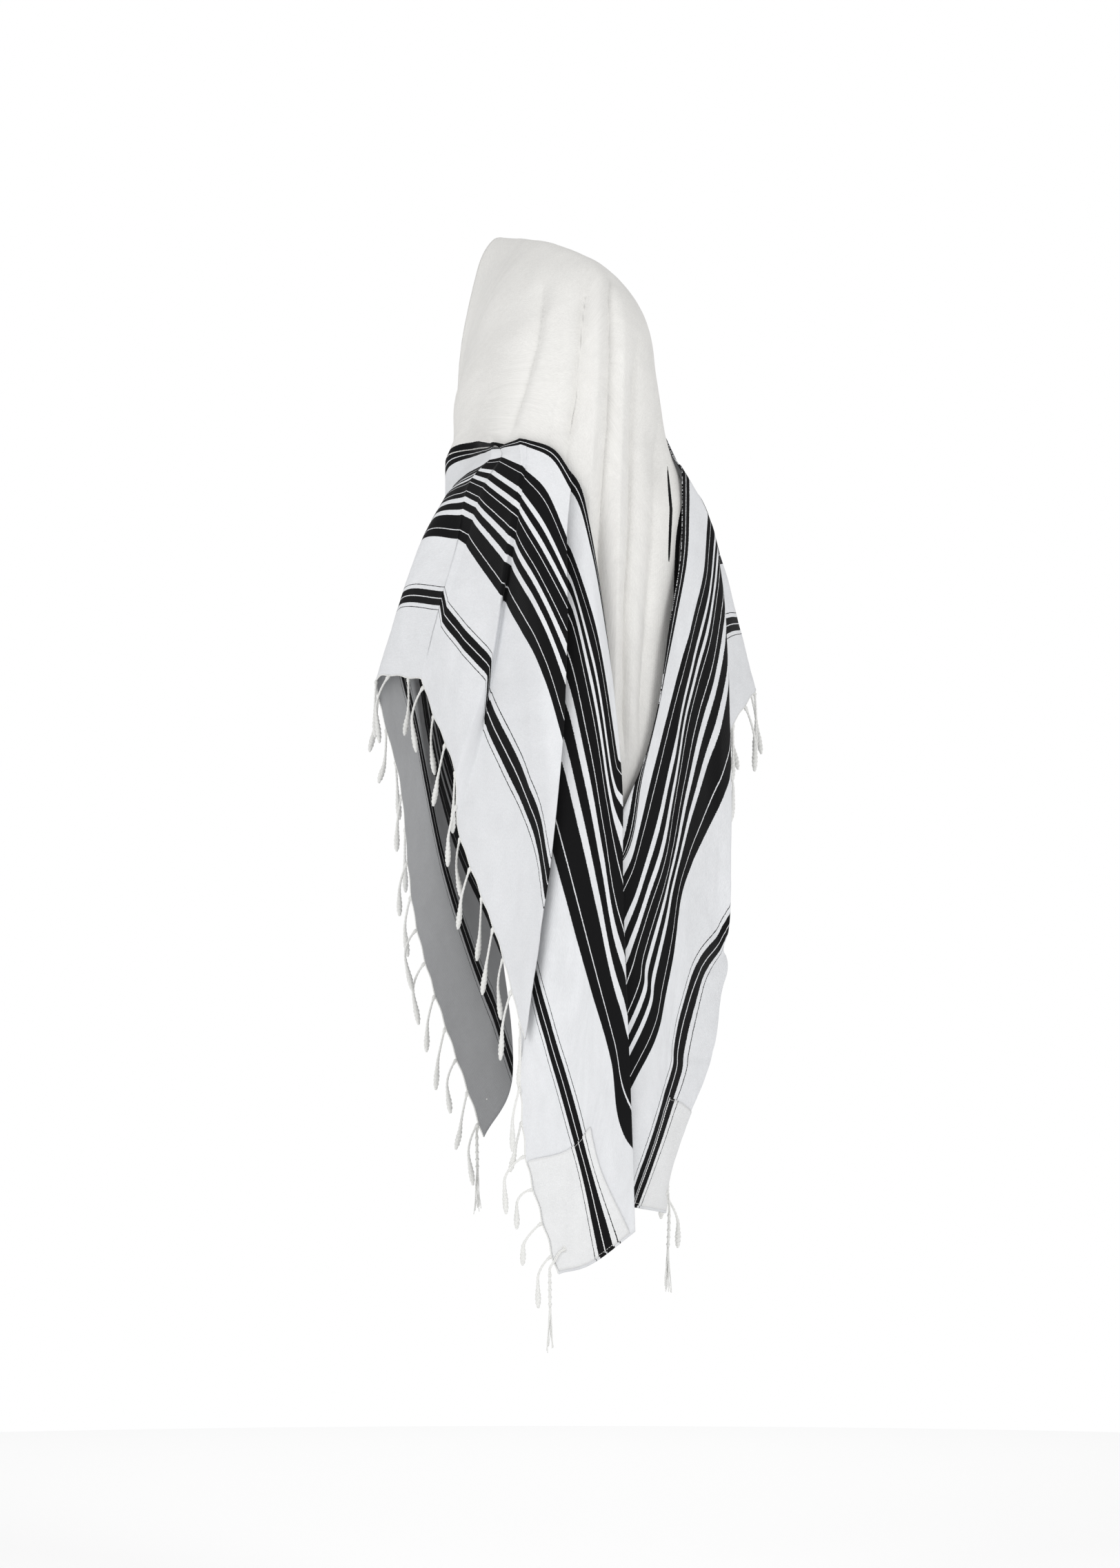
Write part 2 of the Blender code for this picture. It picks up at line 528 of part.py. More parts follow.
def tassel_solid(name, patch, facing):
    """The tassel of one corner, from its eyelet over the edge and down."""
    cells = range(EYELET_CELL, -1, -1)
    line = [patch[i, i] + facing[i, i] * TASSEL_LIFT for i in cells]
    away = line[-1] - line[0]
    away[2] = min(away[2], -TASSEL_LEAST_FALL)
    line.append(line[-1] + away / np.linalg.norm(away) * TASSEL_OVERHANG)
    radii = [TASSEL_RADIUS * TASSEL_LOOP_SHARE] * len(line)
    turn_place = line[-1]
    for share, size in TASSEL_SHAPE:
        line.append(turn_place + np.array([0.0, 0.0, -TASSEL_DROP * share]))
        radii.append(TASSEL_RADIUS * size)
    tube_solid(name, line, radii, YARN)


COLLECTION = bpy.data.collections.new("prayer_shawl")
bpy.context.scene.collection.children.link(COLLECTION)
WOOL = colour_material("white_wool", (0.84, 0.83, 0.81))
BAND = colour_material("banded_wool", (0.80, 0.81, 0.83))
PATCH = colour_material("patch_wool", (0.81, 0.81, 0.80))
YARN = colour_material("yarn", (0.86, 0.86, 0.84))

shares = np.linspace(0, 1, PANEL_ROWS)
panels = {}
for name, folds, first, last, side in (("left_sleeve", LEFT_SLEEVE, 0, 10, LEFT_SIDE),
                                       ("left_back", LEFT_BACK, 10.5, 16, LEFT_SIDE),
                                       ("right_sleeve", RIGHT_SLEEVE, 0, 8, RIGHT_SIDE),
                                       ("right_back", RIGHT_BACK, 8, 16, RIGHT_SIDE)):
    stations = STATIONS[(STATIONS >= first) & (STATIONS <= last)]
    places, across = panel_places(folds, shares, stations)
    panels[name] = [places, across, grid_normals(places, side)]

# The right sleeve and the right back share one line, with a seam gap between their walls.
shared = panels["right_sleeve"][2][:, -1] + panels["right_back"][2][:, 0]
shared /= np.linalg.norm(shared, axis=1, keepdims=True)
for name, column, inner in (("right_sleeve", -1, -2), ("right_back", 0, 1)):
    places, _, normals = panels[name]
    back_off = places[:, inner] - places[:, column]
    places[:, column] += back_off / np.linalg.norm(back_off, axis=1, keepdims=True) * SEAM_GAP / 2
    normals[:, column] = shared

front, behind = panels["right_sleeve"], panels["right_back"]
right_places = np.concatenate([front[0], behind[0][:, 1:]], axis=1)
right_normals = np.concatenate([front[2], behind[2][:, 1:]], axis=1)
left_edge = centre_edge(panels["left_sleeve"][0], panels["left_sleeve"][2], LEFT_UNDER, LEFT_SIDE)
right_edge = centre_edge(right_places, right_normals, RIGHT_UNDER, RIGHT_SIDE)
centre = centre_places(left_edge, centre_guides(STATIONS), right_edge)
centre_normals = grid_normals(centre, RIGHT_SIDE)
share_normals(panels["left_sleeve"][2], centre_normals, 0)
share_normals(panels["right_sleeve"][2], centre_normals, CENTRE_COLUMNS - 1)

wall_solid("cloth_centre", centre, centre_normals, WALL, WOOL)
for name, (places, _, normals) in panels.items():
    wall_solid("cloth_" + name, places, normals, WALL, BAND)

for side in ("left", "right"):
    number = 0
    for part in ("sleeve", "back"):
        places, _, normals = panels[side + "_" + part]
        start = FRINGE_START.get(side + "_" + part, 0)
        edge, before, facing = places[-1, start:], places[-2, start:], normals[-1, start:]
        number = fringe_solid("fringe_" + side + "_" + part, edge, edge - before, facing, number)

for side in ("left", "right"):
    for corner, part, from_hem, width, height in (("front", "sleeve", False, *FRONT_PATCH),
                                                  ("back", "back", True, *BACK_PATCHES[side])):
        places, across, normals = panels[side + "_" + part]
        patch, facing = corner_patch(places, across, normals, from_hem, width, height)
        wall_solid("patch_" + side + "_" + corner, patch, facing, PATCH_WALL, PATCH)
        tassel_solid("tassel_" + side + "_" + corner, patch, facing)
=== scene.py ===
"""How a worn woollen prayer shawl looks: its weave, bands, folds, fringes, patches and tassels.

The cloth follows the same named places as its solids, on much finer grids. X+ is the wearer's
left, Y+ the back and Z+ up, in metres, and the origin is the crown of the head under the cloth.
"""
import math

import bpy
import numpy as np
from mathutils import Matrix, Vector, noise


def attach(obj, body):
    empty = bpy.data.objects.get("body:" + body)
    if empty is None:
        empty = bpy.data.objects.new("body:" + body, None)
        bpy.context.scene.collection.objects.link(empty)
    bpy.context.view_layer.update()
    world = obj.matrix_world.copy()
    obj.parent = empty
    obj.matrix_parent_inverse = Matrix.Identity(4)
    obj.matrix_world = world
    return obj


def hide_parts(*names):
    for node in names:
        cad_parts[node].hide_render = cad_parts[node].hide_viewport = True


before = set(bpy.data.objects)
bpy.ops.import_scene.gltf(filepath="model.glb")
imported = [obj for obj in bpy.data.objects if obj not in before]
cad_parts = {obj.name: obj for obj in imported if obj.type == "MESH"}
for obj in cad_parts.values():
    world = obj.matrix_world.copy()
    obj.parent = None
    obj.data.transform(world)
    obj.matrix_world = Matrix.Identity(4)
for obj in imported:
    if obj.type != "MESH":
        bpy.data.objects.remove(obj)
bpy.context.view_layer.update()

# The camera looks from behind, a little from the wearer's left, through a long lens.
IMAGE_WIDTH_M = 1.3966
SIDE_ANGLE = math.radians(20)
TILT = math.radians(1.2)
CAMERA_DISTANCE = 14.0
SENSOR = 36.0
VIEW_END = 200.0
AIM_SIDE, AIM_HEIGHT = 0.0060, -0.6837
SEEN_SIDE = np.array([-math.cos(SIDE_ANGLE), math.sin(SIDE_ANGLE), 0.0])
SEEN_BACK = np.array([math.sin(SIDE_ANGLE), math.cos(SIDE_ANGLE), 0.0])
FLOOR_HEIGHT, FLOOR_RADIUS, FLOOR_CORNERS = -1.72, 3.0, 96
FLOOR_GLOW = 0.22
AMBIENT = 0.56
LIGHT_AIM = (0, 0, -0.65)
# Each light: its name, its place (sideways, back and up as the camera sees it), size and power.
LIGHTS = (
    ("key", (2.2, 2.6, 0.6), 1.4, 34.0),
    ("fill", (-2.4, 2.6, 0.9), 2.4, 47.0),
    ("front", (0.0, -3.2, 1.0), 2.5, 22.0),
)

# Colours, and how much darker the inner face of the cloth is painted: painted shade standing in for
# the shadow inside the shawl.
WOOL_COLOUR = (0.842, 0.833, 0.81)
BAND_COLOUR = (0.80, 0.81, 0.83)
PATCH_COLOUR = (0.805, 0.81, 0.815)
YARN_COLOUR = (0.86, 0.86, 0.84)
BLACK_COLOUR = (0.0062, 0.0062, 0.0068)
INNER_PAINTED_SHADE = 0.45
# How fine the weave, its mottling, the rough edges of its stripes and the fibres of yarn are.
YARN_STRETCH = ((1100.0, 240.0, 1.0), (240.0, 1100.0, 1.0))
WEAVE_SCALE, MOTTLE_SCALE, STRIPE_EDGE_SCALE, FIBRE_SCALE = 100.0, 26.0, 620.0, 900.0
STRIPE_JITTER = 0.0005
# Which of their values count as lowest and highest, how dark and how light those make the wool,
# and how strong and how tall their relief is.
YARN_RANGE, CLOUD_RANGE, STRIPE_EDGE_RANGE = (0.6, 1.4), (0.3, 0.7), (0.2, 0.8)
YARN_TONES, MOTTLE_TONES, FIBRE_TONES = (0.92, 1.03), (0.965, 1.02), (0.84, 1.03)
WEAVE_BUMP, FIBRE_BUMP = (0.35, 0.0004), (0.5, 0.0003)

CLOTH_WALL = 0.0014
CELL = 0.0040
FINE_ROWS = 130
HEM_EXTRA, HEM_REACH = 0.0009, (0.0055, 0.0080)
# How far past the neck the cloth is carried on, and how far into a panel its slanting edge
# brings the cloth along.
PAST_NECK = 0.03
EDGE_PULL = 0.020
# How much of the folds is left where panels meet edge to edge and at their other inner edges,
# and how far from there they have grown back.
JOINED_SHARE, SEAM_SHARE, SEAM_REACH = 0.55, 0.15, 0.05

# Patches: how thick they are, how far they stand out, and how wide and how high each is.
PATCH_WALL = 0.0007
PATCH_LIFT = 0.0004
PATCH_PUFF = 0.0006
PATCH_INSET = 0.003
PATCH_SIZES = {"left_front": (0.120, 0.130), "right_front": (0.120, 0.130),
               "left_back": (0.180, 0.145), "right_back": (0.145, 0.145)}
# How far a patch's stripes lie off the cloth's, and what sets its weave apart.
PATCH_JOG, PATCH_MARK = 0.0022, 0.3
EYELET = (0.042, 0.026)
RING_RADIUS, RING_LIFT = 0.0030, 0.0003
STITCH_INSET, STITCH_PITCH = 0.0024, 0.0034
STITCH_SHARES = (0.0, 0.3, 0.66)
STITCH_RADII = (0.0002, 0.00032, 0.0002)

# How each yarn is plied: corners round it, turns a metre, plies, and how deep they are cut.
RING_PLY = {"sides": 8, "turns": 500.0, "lobes": 3, "depth": 0.18}
CORD_PLY = {"sides": 8, "turns": 260.0, "lobes": 3, "depth": 0.14}
WINDING_PLY = {"sides": 10, "turns": 120.0, "lobes": 2, "depth": 0.05}
STRING_PLY = {"sides": 6, "turns": 300.0, "lobes": 2, "depth": 0.12}
EDGE_PLY = {"sides": 8, "turns": 180.0, "lobes": 2, "depth": 0.16}
STRAND_PLY = {"sides": 10, "turns": 95.0, "lobes": 2, "depth": 0.13}
ROOT_PLY = {"sides": 8, "turns": 240.0, "lobes": 3, "depth": 0.12}
# A direction that hardly any yarn runs along.
FIRST_SIDE = (0.31, 0.42, 0.85)

# Tassels: two cords over the edge of the cloth, windings with knots, and loose strings.
TASSEL_DROP = 0.105
EDGE_TURN = 0.018
CORD_RADIUS, CORD_LIFT, CORD_SINK = 0.0009, 0.0016, 0.0030
CORD_BACK, CORD_WAY, CORD_EDGE = 0.002, (0.6, 0.9), 0.004
CORD_TURN, CORD_DROP, CORDS_CLOSING = 0.012, 0.008, (0.8, 0.5)
WOUND, WOUND_FROM, WOUND_PAST = 0.044, 0.004, 0.003
KNOTS = (0.008, 0.017, 0.026, 0.035, 0.044)
KNOT_SWELL, KNOT_REACH = 0.00085, 0.0013
WINDING_RADIUS, WINDING_PITCH, WINDING_DEPTH = 0.00165, 0.0011, 0.09
STRINGS, STRING_PLACES = 8, 14
STRING_RADII = (0.00072, 0.00050)
STRING_FOOT, STRING_SPREAD, STRING_POWER = 0.0007, (0.0015, 0.0055), 1.2
STRING_ASIDE, STRING_SHORTER = 0.3, 0.010
STRING_BEND, STRING_BOW = 0.0018, 5.0
TASSEL_SWAY = 0.002

# Fringes: a thin cord along each fringed end, and strands that swell towards their tips.
EDGE_CORD_RADIUS, EDGE_CORD_INSET, EDGE_CORD_STEP = 0.00105, 0.0008, 0.0013
STRAND_PITCH = 0.043
STRAND_PHASE = 0.44
STRAND_LENGTH = 0.060
STRAND_SPREAD = (0.86, 1.06)
STRAND_REACH = (0.020, 0.024, 0.018, 0.026)
STRAND_SIDES = (-0.003, 0.009)
STRAND_CURL, CURL_TURN = 0.007, 1.2
STRAND_HOOK, HOOK_FROM, HOOK_POWER = 0.012, 0.55, 1.5
STRAND_OUT_RATE, STRAND_OUT_POWER, STRAND_FALL_POWER = 1.9, 1.6, 1.45
STRAND_SHARES = np.linspace(0, 1, 26)
STRAND_RADII = np.interp(STRAND_SHARES, (0, .06, .12, .45, .60, .80, .93, 1),
                         (.0017, .0019, .0013, .0014, .0021, .0036, .0031, .0012))
ROOT_RADII = np.interp(np.arange(8), (0, 2, 5, 7), (.0012, .0024, .0022, .0012))
# The left back has no strand under the sleeve.
FIRST_STRAND = {"left_back": 1}
SEED = 7

# Places across the cloth, measured from the nearer fringed end.
NECK, INNER, MIDDLE, OUTER, GROUP, END = 0.512, 0.446, 0.348, 0.250, 0.146, 0.0

# How wide and how deep the body's back is at each height: height, half width, depth.
BACK_RINGS = (
    (-0.20, 0.128, 0.152),
    (-0.24, 0.133, 0.157),
    (-0.28, 0.137, 0.158),
    (-0.33, 0.155, 0.162),
    (-0.40, 0.180, 0.170),
    (-0.50, 0.195, 0.178),
    (-0.70, 0.200, 0.182),
    (-1.00, 0.190, 0.178),
    (-1.30, 0.170, 0.172),
)
BACK_CENTRE = -0.010
BACK_SIDE_LIMIT = 0.97

# One row of places along each fold of the wearer's left sleeve, front edge first.
# Each fold: its station, then rows of (place across the cloth, x, y, z).
LEFT_SLEEVE = (
    (0, ((NECK, .030, -.198, -.630), (INNER, .028, -.196, -.700), (MIDDLE, .022, -.185, -.800),
         (OUTER, .012, -.165, -.910), (GROUP, .006, -.140, -1.045), (END, .044, -.144, -1.133))),
    (1, ((NECK, .085, -.132, -.460), (INNER, .090, -.145, -.520), (MIDDLE, .100, -.155, -.610),
         (OUTER, .100, -.145, -.710), (GROUP, .100, -.130, -.790), (END, .128, -.164, -.858))),
    (2, ((NECK, .112, -.085, -.308), (INNER, .115, -.102, -.390), (MIDDLE, .130, -.116, -.450),
         (OUTER, .142, -.118, -.525), (GROUP, .140, -.124, -.610), (END, .142, -.184, -.678))),
    (3, ((NECK, .124, -.045, -.274), (INNER, .122, -.054, -.325), (MIDDLE, .140, -.066, -.368),
         (OUTER, .158, -.078, -.425), (GROUP, .167, -.118, -.498), (END, .164, -.190, -.592))),
    (4, ((NECK, .103, -.006, -.267), (INNER, .125, .008, -.300), (MIDDLE, .144, .001, -.327),
         (OUTER, .169, -.008, -.379), (GROUP, .177, -.064, -.452), (END, .184, -.141, -.552))),
    (5, ((NECK, .112, .082, -.265), (INNER, .115, .092, -.280), (MIDDLE, .134, .062, -.311),
         (OUTER, .140, .040, -.378), (GROUP, .153, .019, -.452), (END, .161, -.037, -.553))),
    (6, ((NECK, .109, .092, -.264), (INNER, .110, .107, -.274), (MIDDLE, .131, .090, -.318),
         (OUTER, .138, .051, -.385), (GROUP, .156, .023, -.471), (END, .160, -.030, -.574))),
    (7, ((NECK, .091, .125, -.255), (INNER, .092, .136, -.284), (MIDDLE, .106, .140, -.351),
         (OUTER, .112, .114, -.447), (GROUP, .118, .088, -.536), (END, .143, .037, -.667))),
    (8, ((NECK, .086, .131, -.255), (INNER, .090, .139, -.287), (MIDDLE, .103, .144, -.357),
         (OUTER, .107, .110, -.456), (GROUP, .118, .074, -.593), (END, .144, .033, -.734))),
    (9, ((NECK, .057, .156, -.269), (INNER, .068, .163, -.315), (MIDDLE, .079, .176, -.415),
         (OUTER, .084, .181, -.537), (GROUP, .086, .155, -.714), (END, .118, .110, -.869))),
    (10, ((NECK, .039, .169, -.299), (INNER, .050, .181, -.368), (MIDDLE, .054, .193, -.471),
          (OUTER, .061, .196, -.626), (GROUP, .079, .189, -.802), (END, .101, .170, -.996))),
)
# The part of the same side that lies down the back, from under the sleeve to the lower edge.
LEFT_BACK = (
    (10.5, ((NECK, .046, .160, -.287), (INNER, .047, .168, -.372), (MIDDLE, .053, .177, -.474),
            (OUTER, .073, .167, -.735), (GROUP, .089, .152, -.898), (END, .101, .148, -.995))),
    (11, ((NECK, .031, .165, -.306), (INNER, .041, .173, -.385), (MIDDLE, .045, .182, -.493),
          (OUTER, .067, .179, -.768), (GROUP, .085, .168, -.936), (END, .103, .156, -1.035))),
    (12, ((NECK, .017, .177, -.372), (INNER, .020, .192, -.463), (MIDDLE, .026, .193, -.587),
          (OUTER, .045, .184, -.850), (GROUP, .070, .175, -.996), (END, .102, .156, -1.060))),
    (13, ((INNER, -.013, .199, -.648), (MIDDLE, .005, .199, -.716), (OUTER, .023, .190, -.931),
          (GROUP, .055, .179, -1.048), (END, .100, .156, -1.099))),
    (14, ((MIDDLE, -.017, .199, -.824), (OUTER, -.002, .196, -1.022), (GROUP, .042, .185, -1.099),
          (END, .097, .157, -1.133))),
    (15, ((.265, -.028, .197, -1.080), (OUTER, -.018, .198, -1.112), (GROUP, .026, .188, -1.159),
          (END, .092, .160, -1.164))),
    (16, ((.185, -.034, .195, -1.232), (GROUP, .001, .190, -1.259), (END, .060, .172, -1.285))),
)
# The same two parts of the wearer's right side.
RIGHT_SLEEVE = (
    (0, ((NECK, -.056, -.188, -.450), (INNER, -.055, -.190, -.515), (MIDDLE, -.055, -.188, -.595),
         (OUTER, -.058, -.180, -.670), (GROUP, -.065, -.180, -.770), (END, -.090, -.175, -.900))),
    (2, ((NECK, -.113, -.080, -.285), (INNER, -.122, -.100, -.345), (MIDDLE, -.135, -.125, -.420),
         (OUTER, -.155, -.130, -.500), (GROUP, -.185, -.140, -.590), (END, -.220, -.160, -.730))),
    (4, ((NECK, -.120, -.030, -.250), (INNER, -.140, -.030, -.305), (MIDDLE, -.170, -.030, -.345),
         (OUTER, -.205, -.045, -.410), (GROUP, -.245, -.075, -.490), (END, -.285, -.120, -.590))),
    (5, ((NECK, -.121, .054, -.247), (INNER, -.150, .040, -.299), (MIDDLE, -.180, .034, -.329),
         (OUTER, -.213, .024, -.409), (GROUP, -.250, -.015, -.484), (END, -.288, -.055, -.569))),
    (7, ((NECK, -.118, .099, -.273), (INNER, -.150, .090, -.321), (MIDDLE, -.178, .080, -.366),
         (OUTER, -.191, .068, -.420), (GROUP, -.204, .048, -.501), (END, -.225, .020, -.620))),
    (8, ((NECK, -.122, .108, -.284), (INNER, -.155, .102, -.332), (MIDDLE, -.178, .100, -.395),
         (OUTER, -.190, .096, -.530), (GROUP, -.194, .088, -.660), (END, -.212, .020, -.715))),
)
RIGHT_BACK = (
    (8, RIGHT_SLEEVE[-1][1]),
    (9, ((NECK, -.124, .119, -.295), (INNER, -.158, .111, -.347), (MIDDLE, -.175, .117, -.433),
         (OUTER, -.187, .121, -.669), (GROUP, -.186, .121, -.850), (END, -.195, .018, -.815))),
    (10, ((NECK, -.111, .150, -.394), (INNER, -.145, .134, -.410), (MIDDLE, -.157, .137, -.505),
          (OUTER, -.176, .128, -.695), (GROUP, -.181, .120, -.865), (END, -.190, .024, -.872))),
    (11, ((NECK, -.091, .170, -.471), (INNER, -.122, .154, -.471), (MIDDLE, -.129, .155, -.583),
          (OUTER, -.161, .132, -.721), (GROUP, -.174, .116, -.879), (.075, -.194, .084, -.902),
          (END, -.184, .033, -.925))),
    (12, ((NECK, -.048, .188, -.652), (INNER, -.050, .188, -.690), (MIDDLE, -.081, .179, -.781),
          (OUTER, -.104, .169, -.828), (GROUP, -.125, .156, -.931), (.075, -.181, .102, -.950),
          (END, -.172, .042, -.965))),
    (12.5, ((.535, -.008, .193, -.742), (NECK, -.026, .191, -.751), (INNER, -.031, .190, -.762),
            (MIDDLE, -.061, .184, -.832), (OUTER, -.093, .173, -.893), (GROUP, -.108, .165, -.979),
            (.075, -.173, .108, -.996), (END, -.161, .048, -1.010))),
    (13, ((NECK, -.004, .193, -.796), (INNER, -.024, .190, -.778), (MIDDLE, -.045, .187, -.875),
          (OUTER, -.083, .176, -.936), (GROUP, -.102, .167, -1.006), (.075, -.166, .111, -1.020),
          (END, -.151, .055, -1.035))),
    (14, ((.372, -.006, .191, -.928), (MIDDLE, -.027, .188, -.934), (OUTER, -.065, .181, -.998),
          (GROUP, -.099, .167, -1.035), (.075, -.156, .114, -1.045), (END, -.142, .062, -1.065))),
    (15, ((.278, -.012, .188, -1.062), (GROUP, -.086, .173, -1.072), (.075, -.134, .127, -1.085),
          (END, -.123, .077, -1.115))),
    (16, ((.175, -.020, .186, -1.200), (.075, -.066, .176, -1.208), (END, -.092, .150, -1.213))),
)

# The hood, from the face edge over the head to the nape, before the head is turned.
# Each row: its station, then (x, y, z) from the wearer's left to right.
HOOD_ROWS = (
    (0, ((.036, -.200, -.480), (.060, -.174, -.330), (.088, -.118, -.210), (.068, -.095, -.095),
         (.000, -.120, .000), (-.074, -.100, -.095), (-.088, -.122, -.210), (-.066, -.168, -.330))),
    (2, ((.109, -.075, -.280), (.112, -.058, -.210), (.104, -.025, -.145), (.072, .000, -.058),
         (.000, .000, -.012), (-.074, .000, -.058), (-.107, -.035, -.145), (-.113, -.070, -.222))),
    (4, ((.112, .000, -.235), (.116, .022, -.190), (.100, .060, -.125), (.056, .095, -.078),
         (.000, .108, -.056), (-.052, .092, -.078), (-.103, .050, -.130), (-.119, .000, -.184))),
    (6, ((.109, .084, -.248), (.102, .099, -.222), (.083, .120, -.182), (.045, .141, -.150),
         (.000, .148, -.140), (-.046, .141, -.150), (-.082, .116, -.175), (-.110, .074, -.208))),
    (7.5, ((.083, .127, -.262), (.079, .127, -.243), (.062, .139, -.220), (.033, .150, -.200),
           (-.003, .154, -.195), (-.040, .149, -.200), (-.075, .130, -.212), (-.104, .097, -.237))),
    (9, ((.066, .143, -.292), (.054, .148, -.276), (.038, .152, -.262), (.018, .155, -.254),
         (-.008, .156, -.252), (-.034, .152, -.254), (-.064, .140, -.262), (-.098, .118, -.284))),
)
# How far the head is turned to the wearer's left, and between which heights the turn grows.
HEAD_TURN = 0.28
TURN_HEIGHTS = (-0.22, -0.06)
# Below the nape the centre panel only falls, hidden at both sides: station, height, half width.
CENTRE_INSET = 0.004
CENTRE_FALL = (
    (12, -0.400, 0.105),
    (13, -0.640, 0.088),
    (14, -0.820, 0.082),
    (15, -1.060, 0.075),
    (16, -1.190, 0.060),
)
# The centre panel meets the sleeves edge to edge in front and passes under them behind.
STEP_STATIONS = (4.5, 6.0)
STEP_DEPTH, STEP_GAP = 0.008, 0.003
LAST_STEP_STATION = 5.5
LEFT_UNDER = ((7.5, (.086, .126, -.284)), (9, (.080, .136, -.315)))
RIGHT_UNDER = ((7.5, (-.123, .094, -.293)), (9, (-.134, .112, -.320)))
LEFT_SIDE, RIGHT_SIDE = -1, 1
# Keeps the smooth curves from running past their places.
TANGENT_LIMIT = 2.0

PANEL_ROWS = 20
CENTRE_COLUMNS = 150
CENTRE_GUIDES = 8
# Stations along the cloth, from its upper edge at 0 to its lower edge at 16.
STATIONS = np.array((0, .4, .8, 1.2, 1.6, 2, 2.4, 2.8, 3.2, 3.6, 4, 4.5, 5, 5.5, 6, 6.5, 7, 7.5, 8,
                     8.5, 9, 9.5, 10, 10.5, 11, 11.5, 12, 12.33, 12.67, 13, 13.5, 14, 14.5, 15,
                     15.25, 15.5, 15.75, 16))
CENTRE_STATIONS = np.concatenate([np.linspace(0, 9, 120), np.linspace(9, 16, 141)[1:]])

# Each panel: its name, its folds, its first and last station, and its side.
PANELS = (
    ("left_sleeve", LEFT_SLEEVE, 0, 10, LEFT_SIDE),
    ("left_back", LEFT_BACK, 10.5, 16, LEFT_SIDE),
    ("right_sleeve", RIGHT_SLEEVE, 0, 8, RIGHT_SIDE),
    ("right_back", RIGHT_BACK, 8, 16, RIGHT_SIDE),
)


def unit(directions):
    """The same directions, one unit long."""
    return directions / np.linalg.norm(directions, axis=1, keepdims=True)


def line_lengths(line):
    """How far along a line each of its places lies."""
    return np.concatenate([[0.0], np.cumsum(np.linalg.norm(np.diff(line, axis=0), axis=1))])


def read_line(at, length, line):
    """Places read off a line, each at its own distance along it."""
    return np.array([np.interp(at, length, line[:, i]) for i in range(3)]).T


def smooth_path(knots, places, at):
    """A smooth curve through the places, one at each knot, read at other knots."""
    knots = np.asarray(knots, float)
    places = np.asarray(places, float)
    at = np.atleast_1d(np.asarray(at, float))
    steps = np.diff(knots)
    slopes = np.diff(places, axis=0) / steps[:, None]
    tangents = np.empty_like(places)
    tangents[0], tangents[-1] = slopes[0], slopes[-1]
    for i in range(1, len(knots) - 1):
        before, after = steps[i - 1], steps[i]
        tangent = (slopes[i - 1] * after + slopes[i] * before) / (before + after)
        limit = TANGENT_LIMIT * min(np.linalg.norm(slopes[i - 1]), np.linalg.norm(slopes[i]))
        tangents[i] = tangent * min(1.0, limit / max(np.linalg.norm(tangent), 1e-9))
    where = np.clip(np.searchsorted(knots, at, side="right") - 1, 0, len(steps) - 1)
    step = steps[where][:, None]
    u = ((at - knots[where]) / steps[where])[:, None]
    start, end = places[where], places[where + 1]
    leave, arrive = tangents[where] * step, tangents[where + 1] * step
    return ((2 * u**3 - 3 * u**2 + 1) * start + (u**3 - 2 * u**2 + u) * leave
            + (3 * u**2 - 2 * u**3) * end + (u**3 - u**2) * arrive)


def fold_places(fold, shares):
    """Places along one fold, and how far across the cloth each lies."""
    rows = sorted(fold)
    across = rows[-1][0] * (1 - np.asarray(shares))
    return smooth_path([r[0] for r in rows], [r[1:] for r in rows], across), across


def on_back(x, z):
    """How far back the body's back lies at one place."""
    heights = [-r[0] for r in BACK_RINGS]
    half = np.interp(-z, heights, [r[1] for r in BACK_RINGS])
    deep = np.interp(-z, heights, [r[2] for r in BACK_RINGS])
    share = np.clip((x - BACK_CENTRE) / half, -BACK_SIDE_LIMIT, BACK_SIDE_LIMIT)
    return deep * np.sqrt(1 - share**2)


def panel_places(folds, shares, stations):
    """A panel's places: one row for each share across it, one column for each station."""
    keys = np.array([f[0] for f in folds], float)
    lines, widths = [], []
    for _, fold in folds:
        line, across = fold_places(fold, shares)
        lines.append(line)
        widths.append(across)
    lines, widths = np.array(lines), np.array(widths)
    gaps = np.linalg.norm(np.diff(lines, axis=0), axis=2).mean(axis=1)
    length = np.concatenate([[0.0], np.cumsum(gaps)])
    reach = np.interp(stations, keys, length)
    places = np.array([smooth_path(length, lines[:, k], reach) for k in range(len(shares))])
    across = np.array([np.interp(reach, length, widths[:, k]) for k in range(len(shares))])
    return places, across


def grid_normals(places, sign):
    """The outward directions of a grid of places."""
    down = np.gradient(places, axis=0)
    along = np.gradient(places, axis=1)
    normals = sign * np.cross(along, down)
    return normals / np.maximum(np.linalg.norm(normals, axis=2, keepdims=True), 1e-9)


def grow(values, start, end):
    """A smooth rise from 0 at the start to 1 at the end."""
    share = np.clip((np.asarray(values, float) - start) / (end - start), 0.0, 1.0)
    return share * share * (3 - 2 * share)


def turned(place):
    """A place on the hood once the head is turned."""
    x, y, z = place
    angle = HEAD_TURN * grow(z, *TURN_HEIGHTS)
    return (x * np.cos(angle) - y * np.sin(angle), x * np.sin(angle) + y * np.cos(angle), z)


def centre_guides(stations):
    """The centre panel's eight inner guiding lines, from the wearer's left to right."""
    keys, rows = [], []
    for station, row in HOOD_ROWS:
        keys.append(station)
        rows.append([turned(place) for place in row])
    for station, height, half in CENTRE_FALL:
        xs = BACK_CENTRE + half * np.linspace(1, -1, CENTRE_GUIDES + 2)[1:-1]
        keys.append(station)
        rows.append([(x, on_back(x, height) - CENTRE_INSET, height) for x in xs])
    rows = np.array(rows)
    return np.array([smooth_path(keys, rows[:, k], stations) for k in range(CENTRE_GUIDES)])


